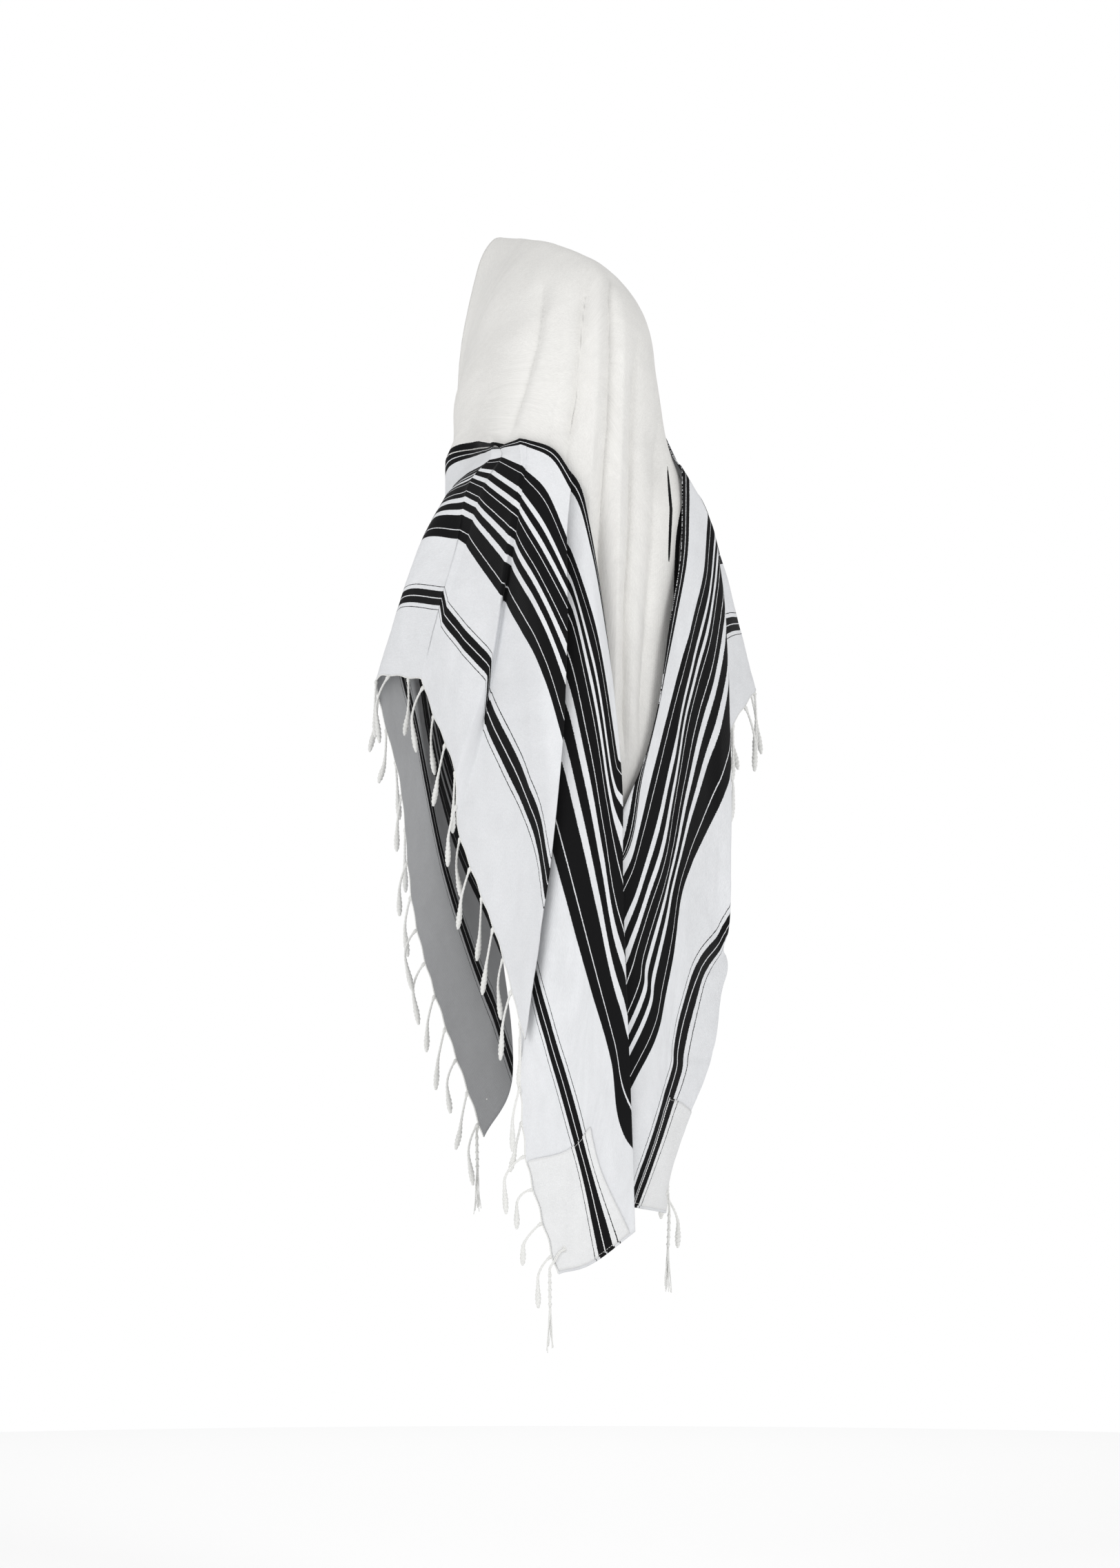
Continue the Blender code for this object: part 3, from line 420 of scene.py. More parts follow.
def centre_edge(panel, normals, under, side):
    """One side edge of the centre panel: along the sleeve's edge, then under it."""
    chosen = [i for i, s in enumerate(STATIONS) if s <= LAST_STEP_STATION]
    keys = list(STATIONS[chosen])
    into = unit(panel[1, chosen] - panel[0, chosen])
    step = grow(keys, *STEP_STATIONS)[:, None]
    beside = panel[0, chosen] - into * (STEP_GAP * step)
    rows = list(beside - normals[0, chosen] * STEP_DEPTH * step)
    for station, place in under:
        keys.append(station)
        rows.append(place)
    for station, height, half in CENTRE_FALL:
        x = BACK_CENTRE - side * half
        keys.append(station)
        rows.append((x, on_back(x, height) - CENTRE_INSET, height))
    return smooth_path(keys, rows, STATIONS)


def centre_places(left_edge, guides, right_edge):
    """The centre panel's places between its two side edges."""
    whole = np.concatenate([left_edge[None], guides, right_edge[None]])
    out = np.empty((CENTRE_COLUMNS, whole.shape[1], 3))
    for j in range(whole.shape[1]):
        steps = np.linalg.norm(np.diff(whole[:, j], axis=0), axis=1)
        length = np.concatenate([[0], np.cumsum(np.maximum(steps, 1e-4))])
        last = CENTRE_GUIDES + 1
        at = np.interp(np.linspace(0, last, CENTRE_COLUMNS), np.arange(last + 1), length)
        out[:, j] = smooth_path(length, whole[:, j], at)
    return out


# Folds of each panel, as lines seen from the camera's side: 1 on the cloth turned to the camera
# and -1 on the cloth turned away, (sideways place, height) from the top down, how far the fold
# stands out, and how far it reaches to either side.
FOLDS = {
    "centre": (
        (1, ((-.013, -.058), (-.023, -.136), (-.039, -.196), (-.060, -.262)), -.0095, .013, .0060),
        (1, ((.040, -.042), (.034, -.119), (.028, -.205), (.014, -.275)), -.0125, .011, .0062),
        (1, ((.071, -.045), (.071, -.153), (.069, -.239), (.061, -.325), (.056, -.394),
             (.058, -.600)), -.0135, .009, .0064),
        (1, ((.103, -.140), (.099, -.256), (.095, -.359), (.089, -.463),
             (.086, -.640)), -.0130, .008, .0062),
        (1, ((.129, -.239), (.123, -.359), (.114, -.480), (.104, -.620)), -.0080, .007, .0060),
        (1, ((-.090, -.100), (-.097, -.187), (-.101, -.240)), -.0030, .016, .022),
        (1, ((.006, -.095), (.000, -.187), (-.010, -.262)), -.0030, .012, .005),
        (1, ((.054, -.090), (.052, -.190), (.045, -.300), (.036, -.420),
             (.040, -.640)), .0035, .010, .012),
        (1, ((.084, -.110), (.083, -.240), (.078, -.380), (.072, -.640)), .0035, .008, .010),
        (-1, ((-.060, -.070), (-.066, -.160), (-.060, -.300)), -.0045, .012, .018),
        (-1, ((.050, -.060), (.064, -.150), (.070, -.300)), -.0045, .012, .018),
        (-1, ((.004, -.010), (.006, -.050), (.004, -.110)), -.0020, .014, .018),
    ),
    "left_sleeve": (
        (1, ((.017, -.365), (.018, -.445), (.019, -.531), (.017, -.650)), .0035, .003, .020),
        (1, ((-.078, -.445), (-.086, -.531), (-.099, -.620)), -.0028, .010, .014),
        (1, ((-.034, -.540), (-.026, -.635), (-.030, -.720)), .0030, .012, .018),
        (1, ((-.056, -.690), (-.050, -.807), (-.054, -.900)), -.0030, .012, .018),
        (1, ((-.170, -.342), (-.181, -.411), (-.190, -.480), (-.188, -.540)), .0022, .012, .016),
        (1, ((-.107, -.470), (-.114, -.549), (-.124, -.620)), .0024, .010, .014),
        (1, ((-.020, -.800), (-.016, -.880), (-.024, -.960)), .0026, .012, .016),
        (-1, ((-.110, -.420), (-.120, -.560), (-.110, -.700)), -.0040, .014, .020),
        (-1, ((-.080, -.560), (-.070, -.720), (-.066, -.900)), .0040, .014, .020),
        (-1, ((-.100, -.760), (-.084, -.900), (-.080, -1.020)), -.0040, .014, .020),
    ),
    "left_back": (
        (1, ((.039, -.721), (.049, -.824), (.065, -.940)), .0018, .010, .014),
        (1, ((.004, -1.010), (.018, -1.090), (.034, -1.170)), -.0020, .012, .016),
        (1, ((.052, -1.030), (.066, -1.110), (.078, -1.200)), .0020, .012, .016),
    ),
    "right_back": (
        (1, ((.184, -.400), (.166, -.480), (.154, -.560), (.143, -.680)), .0024, .004, .014),
        (1, ((.170, -.560), (.156, -.652), (.146, -.738), (.142, -.840)), -.0026, .010, .012),
        (1, ((.204, -.600), (.200, -.740), (.188, -.880)), .0026, .010, .014),
        (1, ((.150, -.920), (.141, -1.013), (.134, -1.110)), -.0028, .012, .014),
        (1, ((.176, -.900), (.166, -1.000), (.152, -1.100)), .0024, .010, .014),
    ),
    "right_sleeve": (
        (1, ((.204, -.394), (.214, -.480), (.226, -.566)), -.0024, .010, .014),
        (-1, ((.150, -.420), (.176, -.520), (.196, -.640)), -.0036, .014, .020),
        (-1, ((.110, -.420), (.100, -.560), (.090, -.720)), .0036, .014, .020),
    ),
}
# Over this height a fold begins, and ends.
FOLD_FADE = 0.045
# Where the left sleeve folds over itself: each pleat's upper edge and the cloth just under it.
PLEATS = {"left_sleeve": (5, 6, 7, 8)}
PLEAT_RISE, PLEAT_FALL, PLEAT_REACH = 0.0022, 0.0030, 0.012
# Uneven small waves: how tall, how many a metre, and how much longer they are upright.
WAVES = ((0.0022, 16.0, 0.30), (0.0009, 42.0, 0.35), (0.00025, 130.0, 0.7))
# How far the fringed ends are drawn in between strands, and how far into the cloth it shows.
SCALLOP = 0.0022
SCALLOP_REACH = 0.016

# The black stripes, from each fringed end: a group's middle, then its stripes from that middle.
STRIPE_GROUPS = (
    (.1460, ((.0008, .0125), (.0192, .0205))),
    (.3440, ((-.0095, .0095), (.0109, .0210), (.0305, .0435), (.0530, .0776), (.0790, .0940))),
    (.50775, ((-.00425, .00425), (.00575, .01425))),
)
# The last of these stripes lies clear of the right shoulder's edge where it shows on the centre.
NECK_STRIPE = ((.1384, -.288), (.1430, -.342), (.1400, -.410))
NECK_STRIPE_HALF = 0.0019
BLACK_MIDDLE, BLACK_HALF = 0.5185, 0.0035


def fold_at(fold, across):
    """Places along one fold at places across the cloth, carried straight on past its first row."""
    rows = sorted(fold)
    knots = np.array([r[0] for r in rows])
    places = np.array([r[1:] for r in rows])
    inside = smooth_path(knots, places, np.minimum(across, knots[-1]))
    slope = (places[-1] - places[-2]) / (knots[-1] - knots[-2])
    return inside + np.maximum(across - knots[-1], 0)[:, None] * slope


def fold_lengths(folds):
    """How far along the panel each fold lies on average."""
    shares = np.linspace(0, 1, PANEL_ROWS)
    lines = np.array([fold_places(fold, shares)[0] for _, fold in folds])
    gaps = np.linalg.norm(np.diff(lines, axis=0), axis=2).mean(axis=1)
    return np.concatenate([[0.0], np.cumsum(gaps)])


def fine_panel(folds, shares, stations, edges):
    """A panel's places and places across, with a sharp turn at each pleat edge."""
    keys = np.array([f[0] for f in folds], float)
    length = fold_lengths(folds)
    reach = np.interp(stations, keys, length)
    levels = np.arange(0.0, NECK + PAST_NECK, CELL)
    lines = np.array([fold_at(fold, levels) for _, fold in folds])
    stops = [0] + [i for i, key in enumerate(keys) if key in edges] + [len(keys) - 1]
    sheet = np.empty((len(levels), len(stations), 3))
    for first, last in zip(stops, stops[1:]):
        run = (reach >= length[first]) & (reach <= length[last])
        for k in range(len(levels)):
            sheet[k, run] = smooth_path(length[first:last + 1], lines[first:last + 1, k],
                                        reach[run])
    tops = [max(fold)[0] for _, fold in folds]
    top = np.interp(reach, length, tops)
    if min(tops) < NECK:
        line = smooth_path(length, [max(fold)[1:] for _, fold in folds], reach)
        close = np.linspace(-PAST_NECK, PAST_NECK, 121)
        for j in range(len(stations)):
            tried = np.clip(top[j] + close, 0.0, levels[-1])
            spots = read_line(tried, levels, sheet[:, j])
            top[j] = tried[np.argmin(np.linalg.norm(spots - line[j], axis=1))]
        top = np.convolve(np.pad(top, 4, mode="edge"), np.full(9, 1 / 9), mode="valid")
    across = top[None] * (1 - np.asarray(shares))[:, None]
    places = np.stack([smooth_path(levels, sheet[:, j], across[:, j])
                       for j in range(len(stations))], axis=1)
    if min(tops) < NECK:
        near = np.exp((across - across[:1]) / EDGE_PULL)
        places = places + (line - places[0])[None] * near[..., None]
    return places, across


def even_stations(folds, step, edges):
    """Stations an even step apart along a panel, and its pleat edges."""
    keys = [f[0] for f in folds]
    length = fold_lengths(folds)
    count = int(round(length[-1] / step)) + 1
    even = np.interp(np.linspace(0, length[-1], count), length, keys)
    return np.unique(np.concatenate([even, edges]))


def pleat_lift(folds, stations, edges):
    """Lifts the cloth before each pleat edge and sinks it after."""
    keys = [f[0] for f in folds]
    length = fold_lengths(folds)
    reach = np.interp(stations, keys, length)
    lift = np.zeros(len(stations))
    for before, after in zip(edges[::2], edges[1::2]):
        high, low = np.interp((before, after), keys, length)
        share = np.clip((reach - high) / (low - high), 0, 1)
        step = PLEAT_RISE * (1 - share) - PLEAT_FALL * share
        lift += step * np.exp(-np.maximum(high - reach, 0) / PLEAT_REACH) * np.exp(
            -np.maximum(reach - low, 0) / PLEAT_REACH)
    return lift


def run_lengths(places, axis):
    """How far each place lies along its row or column."""
    steps = np.linalg.norm(np.diff(places, axis=axis), axis=2)
    start = np.zeros_like(np.take(steps, [0], axis=axis))
    return np.concatenate([start, np.cumsum(steps, axis=axis)], axis=axis)


def waves(places):
    """Small uneven waves of the cloth, longer upright than sideways."""
    flat = places.reshape(-1, 3)
    lift = np.zeros(len(flat))
    for tall, often, upright in WAVES:
        scaled = flat * (often, often, often * upright)
        lift += tall * np.array([noise.noise(Vector(place)) for place in scaled])
    return lift.reshape(places.shape[:2])


def fold_lift(places, facing, line, height, before, after):
    """How far one fold lifts each place."""
    line = np.array(line)
    side, z = places @ SEEN_SIDE, places[..., 2]
    away = side - np.interp(-z, -line[:, 1], line[:, 0])
    shape = np.exp(-np.abs(away) / np.where(away < 0, before, after))
    inside = grow(z, line[-1, 1] - FOLD_FADE / 2, line[-1, 1] + FOLD_FADE)
    inside *= 1 - grow(z, line[0, 1] - FOLD_FADE, line[0, 1] + FOLD_FADE / 2)
    return height * shape * inside * grow(facing, 0.0, 0.35)


def dressed(name, places, normals, share):
    """The cloth's places with its folds and waves, or a share of them."""
    lift = waves(places)
    facing = normals @ SEEN_BACK
    for view, line, height, before, after in FOLDS.get(name, ()):
        lift += fold_lift(places, facing * view, line, height, before, after)
    return places + normals * (lift * share)[..., None]


def scallop(places):
    """Draws the fringed end in a little between its strands."""
    edge = places[-1]
    length = line_lengths(edge)
    pitch = length[-1] / max(1, round(length[-1] / STRAND_PITCH))
    wave = np.cos((length / pitch - STRAND_PHASE) * 2 * np.pi) - 1
    out = unit(edge - places[-3])
    from_end = np.linalg.norm(places - edge[None], axis=2)
    share = (1 - grow(from_end, 0, SCALLOP_REACH))[..., None]
    return places + out[None] * (SCALLOP * wave / 2)[None, :, None] * share


def with_neck_stripe(places, normals, across):
    """Places across the centre, brought into the black along the stripe at the neck."""
    line = np.array(NECK_STRIPE)
    side, z = places @ SEEN_SIDE, places[..., 2]
    beyond = np.maximum(0, np.maximum(z - line[0, 1], line[-1, 1] - z))
    away = np.hypot(side - np.interp(-z, -line[:, 1], line[:, 0]), beyond)
    share = np.clip((line[0, 1] - z) / (line[0, 1] - line[-1, 1]), 0.02, 0.98)
    half = NECK_STRIPE_HALF * 2 * np.sqrt(share * (1 - share))
    drawn = BLACK_MIDDLE + BLACK_HALF * away / half
    return np.where(normals @ SEEN_BACK > 0, np.minimum(across, drawn), across)


def shell_mesh(name, places, normals, thickness, sign, marks, material, hole=None):
    """A thin closed shell round a grid of places, open at one cell where there is a hole."""
    rows, columns = places.shape[:2]
    count = rows * columns
    half = normals * np.broadcast_to(thickness, (rows, columns))[..., None] / 2
    corners = np.concatenate([(places + half).reshape(-1, 3), (places - half).reshape(-1, 3)])
    i, j = np.meshgrid(np.arange(rows - 1), np.arange(columns - 1), indexing="ij")
    keep = np.ones(i.shape, bool)
    if hole:
        keep[hole] = False
    i, j = i[keep], j[keep]
    a, b = i * columns + j, i * columns + j + 1
    outer = np.stack([a, b, b + columns, a + columns], axis=1)
    if sign < 0:
        outer = outer[:, ::-1]
    starts = outer.ravel()
    ends = np.roll(outer, -1, axis=1).ravel()
    rim = ~np.isin(starts * count + ends, ends * count + starts)
    starts, ends = starts[rim], ends[rim]
    rims = np.stack([ends, starts, starts + count, ends + count], axis=1)
    faces = np.concatenate([outer, outer[:, ::-1] + count, rims])
    mesh = bpy.data.meshes.new(name)
    mesh.from_pydata(corners.tolist(), [], faces.tolist())
    marked = mesh.attributes.new("cloth_place", "FLOAT_VECTOR", "POINT")
    values = np.concatenate([marks.reshape(-1, 3), marks.reshape(-1, 3)])
    marked.data.foreach_set("vector", values.astype(np.float32).ravel())
    # Marks the inner face, which the wool material darkens as painted shade.
    inner = mesh.attributes.new("inner_face", "FLOAT", "POINT")
    inner.data.foreach_set("value", np.repeat(np.float32((0, 1)), count))
    return finished(name, mesh, material)


def finished(name, mesh, material):
    """An object of the shawl from its mesh."""
    mesh.polygons.foreach_set("use_smooth", [True] * len(mesh.polygons))
    mesh.materials.append(material)
    piece = bpy.data.objects.new(name, mesh)
    bpy.context.scene.collection.objects.link(piece)
    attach(piece, "root")
    return piece


class Yarns:
    """Collects tubes of yarn for one mesh."""

    def __init__(self):
        self.corners, self.faces, self.marks, self.count = [], [], [], 0

    def add(self, line, radii, sides=8, turns=0.0, lobes=0, depth=0.0, first=FIRST_SIDE):
        """A closed tube along a line, its outline lobed and twisting like plied yarn."""
        line = np.asarray(line, float)
        radii = np.broadcast_to(radii, len(line))
        length = line_lengths(line)
        runs = np.gradient(line, axis=0)
        first = np.asarray(first, float)
        angles = np.arange(sides) * 2 * np.pi / sides
        for k in range(len(line)):
            run = runs[k] / np.linalg.norm(runs[k])
            first = first - run * np.dot(first, run)
            first /= np.linalg.norm(first)
            second = np.cross(run, first)
            size = radii[k] * (1 + depth * np.cos(lobes * (angles - turns * 2 * np.pi * length[k])))
            ring = line[k] + size[:, None] * (np.cos(angles)[:, None] * first
                                              + np.sin(angles)[:, None] * second)
            self.corners.append(ring)
            self.marks.append(np.stack([angles, np.full(sides, length[k]), np.zeros(sides)], axis=1))
        start = self.count
        for k in range(len(line) - 1):
            for s in range(sides):
                n = (s + 1) % sides
                at = start + k * sides
                self.faces.append((at + s, at + n, at + sides + n, at + sides + s))
        last = start + (len(line) - 1) * sides
        self.faces.append(tuple(start + s for s in reversed(range(sides))))
        self.faces.append(tuple(last + s for s in range(sides)))
        self.count += len(line) * sides

    def piece(self, name, material):
        """The collected tubes as one object."""
        mesh = bpy.data.meshes.new(name)
        mesh.from_pydata(np.concatenate(self.corners).tolist(), [], self.faces)
        marked = mesh.attributes.new("cloth_place", "FLOAT_VECTOR", "POINT")
        marked.data.foreach_set("vector", np.concatenate(self.marks).astype(np.float32).ravel())
        return finished(name, mesh, material)


def add_node(tree, kind, links=None, **settings):
    """One shader node: its settings, its inputs' values, and links into its inputs."""
    made = tree.nodes.new(kind)
    for key, value in settings.items():
        setattr(made, key, value)
    for key, value in (links or {}).items():
        if isinstance(value, bpy.types.NodeSocket):
            tree.links.new(value, made.inputs[key])
        else:
            made.inputs[key].default_value = value
    return made


def worked_out(tree, operation, *values):
    """The result of one sum."""
    return add_node(tree, "ShaderNodeMath", dict(enumerate(values)), operation=operation).outputs[0]


def ranged(tree, value, source, target):
    """A value brought from one range into another."""
    limits = {"Value": value, "From Min": source[0], "From Max": source[1],
              "To Min": target[0], "To Max": target[1]}
    return add_node(tree, "ShaderNodeMapRange", limits).outputs[0]


def toned(tree, colour, tone):
    """A colour made lighter or darker by a tone."""
    return add_node(tree, "ShaderNodeVectorMath", {0: colour, "Scale": tone},
                    operation="SCALE").outputs[0]


def cloudy(tree, place, scale, detail):
    """Uneven values over the cloth."""
    return add_node(tree, "ShaderNodeTexNoise", {"Vector": place, "Scale": scale,
                                                 "Detail": detail}).outputs["Fac"]


def raised(tree, shader, height, strength, distance):
    """Gives a surface the small heights of its yarns."""
    bump = add_node(tree, "ShaderNodeBump", {"Height": height, "Strength": strength,
                                             "Distance": distance})
    tree.links.new(bump.outputs["Normal"], shader.inputs["Normal"])


def new_material(name):
    """A material with its nodes and its surface."""
    material = bpy.data.materials.new(name)
    material.use_nodes = True
    return material, material.node_tree, material.node_tree.nodes["Principled BSDF"]


def black_stripes(tree, at):
    """1 on the black stripes and 0 elsewhere."""
    total = 0.0
    for middle, spans in STRIPE_GROUPS:
        away = worked_out(tree, "ABSOLUTE", worked_out(tree, "SUBTRACT", at, middle))
        for start, end in spans:
            inside = worked_out(tree, "COMPARE", away, (start + end) / 2, (end - start) / 2)
            total = worked_out(tree, "MAXIMUM", total, inside)
    return total


def wool_material(name, colour):
    """Plain woven wool, with black bands where the cloth has them, and painted shade darkening its
    inner face.
    """
    material, tree, shader = new_material(name)
    place = add_node(tree, "ShaderNodeAttribute", attribute_name="cloth_place").outputs["Vector"]
    yarns = []
    for stretch in YARN_STRETCH:
        scaled = add_node(tree, "ShaderNodeVectorMath", {0: place, 1: stretch}, operation="MULTIPLY")
        yarns.append(cloudy(tree, scaled.outputs[0], 1.0, 1.0))
    both = worked_out(tree, "ADD", *yarns)
    fine = ranged(tree, both, YARN_RANGE, YARN_TONES)
    broad = ranged(tree, cloudy(tree, place, MOTTLE_SCALE, 4.0), CLOUD_RANGE, MOTTLE_TONES)
    inner = add_node(tree, "ShaderNodeAttribute", attribute_name="inner_face").outputs["Fac"]
    # Painted shade: the inner face is darkened, standing in for the shadow inside the shawl.
    under = ranged(tree, inner, (0.0, 1.0), (1.0, INNER_PAINTED_SHADE))
    tone = worked_out(tree, "MULTIPLY", worked_out(tree, "MULTIPLY", fine, broad), under)
    rough = cloudy(tree, place, STRIPE_EDGE_SCALE, 1.0)
    jitter = ranged(tree, rough, STRIPE_EDGE_RANGE, (-STRIPE_JITTER, STRIPE_JITTER))
    parts = add_node(tree, "ShaderNodeSeparateXYZ", {"Vector": place})
    at = worked_out(tree, "ADD", parts.outputs["X"], jitter)
    mixed = add_node(tree, "ShaderNodeMix", {"Factor": black_stripes(tree, at),
                                             "A": toned(tree, colour, tone),
                                             "B": toned(tree, BLACK_COLOUR, fine)},
                     data_type="VECTOR")
    tree.links.new(mixed.outputs["Result"], shader.inputs["Base Color"])
    shader.inputs["Roughness"].default_value = 0.92
    shader.inputs["Specular IOR Level"].default_value = 0.12
    shader.inputs["Sheen Weight"].default_value = 0.06
    shader.inputs["Sheen Roughness"].default_value = 0.5
    weave = []
    for axis in ("X", "Y"):
        bands = {"Vector": place, "Scale": WEAVE_SCALE, "Distortion": 1.2, "Detail": 1.0,
                 "Detail Scale": 2.0}
        weave.append(add_node(tree, "ShaderNodeTexWave", bands, bands_direction=axis).outputs["Fac"])
    height = worked_out(tree, "ADD", worked_out(tree, "MAXIMUM", *weave), both)
    raised(tree, shader, height, *WEAVE_BUMP)
    return material


def yarn_material(name, colour):
    """Soft spun wool yarn."""
    material, tree, shader = new_material(name)
    where = add_node(tree, "ShaderNodeTexCoord").outputs["Object"]
    fibre = cloudy(tree, where, FIBRE_SCALE, 3.0)
    tone = ranged(tree, fibre, CLOUD_RANGE, FIBRE_TONES)
    tree.links.new(toned(tree, colour, tone), shader.inputs["Base Color"])
    shader.inputs["Roughness"].default_value = 0.9
    shader.inputs["Specular IOR Level"].default_value = 0.12
    shader.inputs["Sheen Weight"].default_value = 0.15
    raised(tree, shader, fibre, *FIBRE_BUMP)
    return material


def area_light(name, place, size, power):
    """One soft studio light, turned to the middle of the shawl."""
    side, back, up = place
    light = bpy.data.lights.new(name, "AREA")
    light.size, light.energy = size, power
    start = Vector(SEEN_BACK) * back + Vector(SEEN_SIDE) * side + Vector((0, 0, up))
    lamp = bpy.data.objects.new(name, light)
    lamp.location = start
    lamp.rotation_euler = (Vector(LIGHT_AIM) - start).to_track_quat("-Z", "Y").to_euler()
    bpy.context.scene.collection.objects.link(lamp)


def studio():
    """The camera, the pale floor, and the soft light."""
    aim = Vector(SEEN_SIDE) * AIM_SIDE + Vector((0, 0, AIM_HEIGHT))
    back = Vector(SEEN_BACK) * math.cos(TILT) + Vector((0, 0, math.sin(TILT)))
    camera = bpy.data.objects.new("camera", bpy.data.cameras.new("camera"))
    camera.data.sensor_fit = "HORIZONTAL"
    camera.data.sensor_width = SENSOR
    camera.data.lens = SENSOR * CAMERA_DISTANCE / IMAGE_WIDTH_M
    camera.data.clip_end = VIEW_END
    camera.location = aim + back * CAMERA_DISTANCE
    camera.rotation_euler = (-back).to_track_quat("-Z", "Y").to_euler()
    bpy.context.scene.collection.objects.link(camera)
    bpy.context.scene.camera = camera
    mesh = bpy.data.meshes.new("floor")
    angles = np.linspace(0, 2 * np.pi, FLOOR_CORNERS, endpoint=False)
    ring = np.stack([FLOOR_RADIUS * np.cos(angles), FLOOR_RADIUS * np.sin(angles),
                     np.full(FLOOR_CORNERS, FLOOR_HEIGHT)], axis=1)
    mesh.from_pydata(ring.tolist(), [], [tuple(range(FLOOR_CORNERS))])
    floor = bpy.data.objects.new("floor", mesh)
    bpy.context.scene.collection.objects.link(floor)
    pale, _, shader = new_material("floor_pale")
    shader.inputs["Base Color"].default_value = (0.93, 0.93, 0.93, 1)
    shader.inputs["Roughness"].default_value = 0.95
    shader.inputs["Specular IOR Level"].default_value = 0.0
    shader.inputs["Emission Color"].default_value = (1, 1, 1, 1)
    shader.inputs["Emission Strength"].default_value = FLOOR_GLOW
    mesh.materials.append(pale)
    world = bpy.data.worlds.new("studio")
    world.use_nodes = True
    tree = world.node_tree
    soft = tree.nodes["Background"]
    soft.inputs["Color"].default_value = (1, 1, 1, 1)
    soft.inputs["Strength"].default_value = AMBIENT
    backdrop = add_node(tree, "ShaderNodeBackground", {"Color": (1, 1, 1, 1), "Strength": 1.0})
    seen = add_node(tree, "ShaderNodeLightPath").outputs["Is Camera Ray"]
    either = add_node(tree, "ShaderNodeMixShader", {0: seen, 1: soft.outputs[0],
                                                    2: backdrop.outputs[0]})
    tree.links.new(either.outputs[0], tree.nodes["World Output"].inputs["Surface"])
    bpy.context.scene.world = world
    bpy.context.scene.view_settings.view_transform = "Standard"
    for name, place, size, power in LIGHTS:
        area_light(name, place, size, power)


def line_across(places, across, place, from_hem):
    """The line of one place across the cloth, from its front or lower corner on."""
    line = []
    for j in range(places.shape[1]):
        if across[0, j] >= place:
            line.append([np.interp(place, across[::-1, j], places[::-1, j, i]) for i in range(3)])
    line = np.array(line)
    return line[::-1] if from_hem else line


def corner_places(panel, from_hem, widths, heights):
    """Places and outward directions over a corner of the cloth, by width and by height."""
    places, normals, across = panel["places"], panel["normals"], panel["across"]
    found, facing = [], []
    for width in widths:
        line = line_across(places, across, width, from_hem)
        out = line_across(normals, across, width, from_hem)
        length = line_lengths(line)
        found.append(read_line(heights, length, line))
        facing.append(unit(read_line(heights, length, out)))
    return np.array(found), np.array(facing)


def over_patch(cover, points, lift):
    """Places just above a patch at points given by width and height."""
    line, faces = [], []
    for width, height in points:
        i = np.interp(width, cover["widths"], np.arange(len(cover["widths"])))
        j = np.interp(height, cover["heights"], np.arange(len(cover["heights"])))
        i0, j0 = min(int(i), len(cover["widths"]) - 2), min(int(j), len(cover["heights"]) - 2)
        u, v = i - i0, j - j0
        found = []
        for values in (cover["places"], cover["facing"]):
            near = values[i0, j0] * (1 - v) + values[i0, j0 + 1] * v
            far = values[i0 + 1, j0] * (1 - v) + values[i0 + 1, j0 + 1] * v
            found.append(near * (1 - u) + far * u)
        line.append(found[0] + found[1] * lift)
        faces.append(found[1])
    return np.array(line), faces[0]


def make_patch(name, panel, from_hem, width, height):
    """One corner patch with its stitching and its eyelet."""
    widths = np.linspace(PATCH_INSET, width, int(width / CELL) + 1)
    heights = np.linspace(PATCH_INSET, height, int(height / CELL) + 1)
    places, facing = corner_places(panel, from_hem, widths, heights)
    lift = CLOTH_WALL / 2 + PATCH_LIFT + PATCH_WALL / 2
    puff = PATCH_PUFF * np.outer(np.sin(np.pi * np.linspace(0, 1, len(widths))) ** 0.5,
                                 np.sin(np.pi * np.linspace(0, 1, len(heights))) ** 0.5)
    places = places + facing * (lift + puff)[..., None]
    marks = np.zeros(places.shape)
    marks[..., 0] = widths[:, None] + PATCH_JOG
    marks[..., 1] = heights[None]
    marks[..., 2] = PATCH_MARK
    order = 1 if from_hem else -1
    hole = int(np.argmin(abs(widths - EYELET[0]))), int(np.argmin(abs(heights - EYELET[1])))
    patch = shell_mesh("patch_" + name + "_sewn", places, facing, PATCH_WALL,
                       panel["sign"] * order, marks, PATCH, hole)
    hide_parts("patch_" + name)
    eyelet = widths[hole[0]] + CELL / 2, heights[hole[1]] + CELL / 2
    cover = {"widths": widths, "heights": heights, "places": places, "facing": facing,
             "eyelet": eyelet}
    yarn = Yarns()
    near = PATCH_INSET + STITCH_INSET
    far_width, far_height = width - STITCH_INSET, height - STITCH_INSET
    corners = ((near, near), (far_width, near), (far_width, far_height), (near, far_height))
    for k in range(4):
        start, end = np.array(corners[k]), np.array(corners[(k + 1) % 4])
        count = int(np.linalg.norm(end - start) / STITCH_PITCH)
        for s in range(count):
            ends = [start + (end - start) * (s + share) / count for share in STITCH_SHARES]
            stitch, face = over_patch(cover, ends, PATCH_WALL / 2)
            yarn.add(stitch, STITCH_RADII, sides=5, first=face)
    ring = [(eyelet[0] + RING_RADIUS * math.cos(angle), eyelet[1] + RING_RADIUS * math.sin(angle))
            for angle in np.linspace(0, 2 * np.pi, 25)]
    circle, face = over_patch(cover, ring, PATCH_WALL / 2 + RING_LIFT)
    yarn.add(circle, CORD_RADIUS, **RING_PLY, first=face)
    stitches = yarn.piece("stitching_" + name, YARN)
    return [patch, stitches], cover


def smoothed(points, count):
    """Even places along a smooth line through a few points."""
    points = np.array(points)
    length = line_lengths(points)
    return smooth_path(length, points, np.linspace(0, length[-1], count))


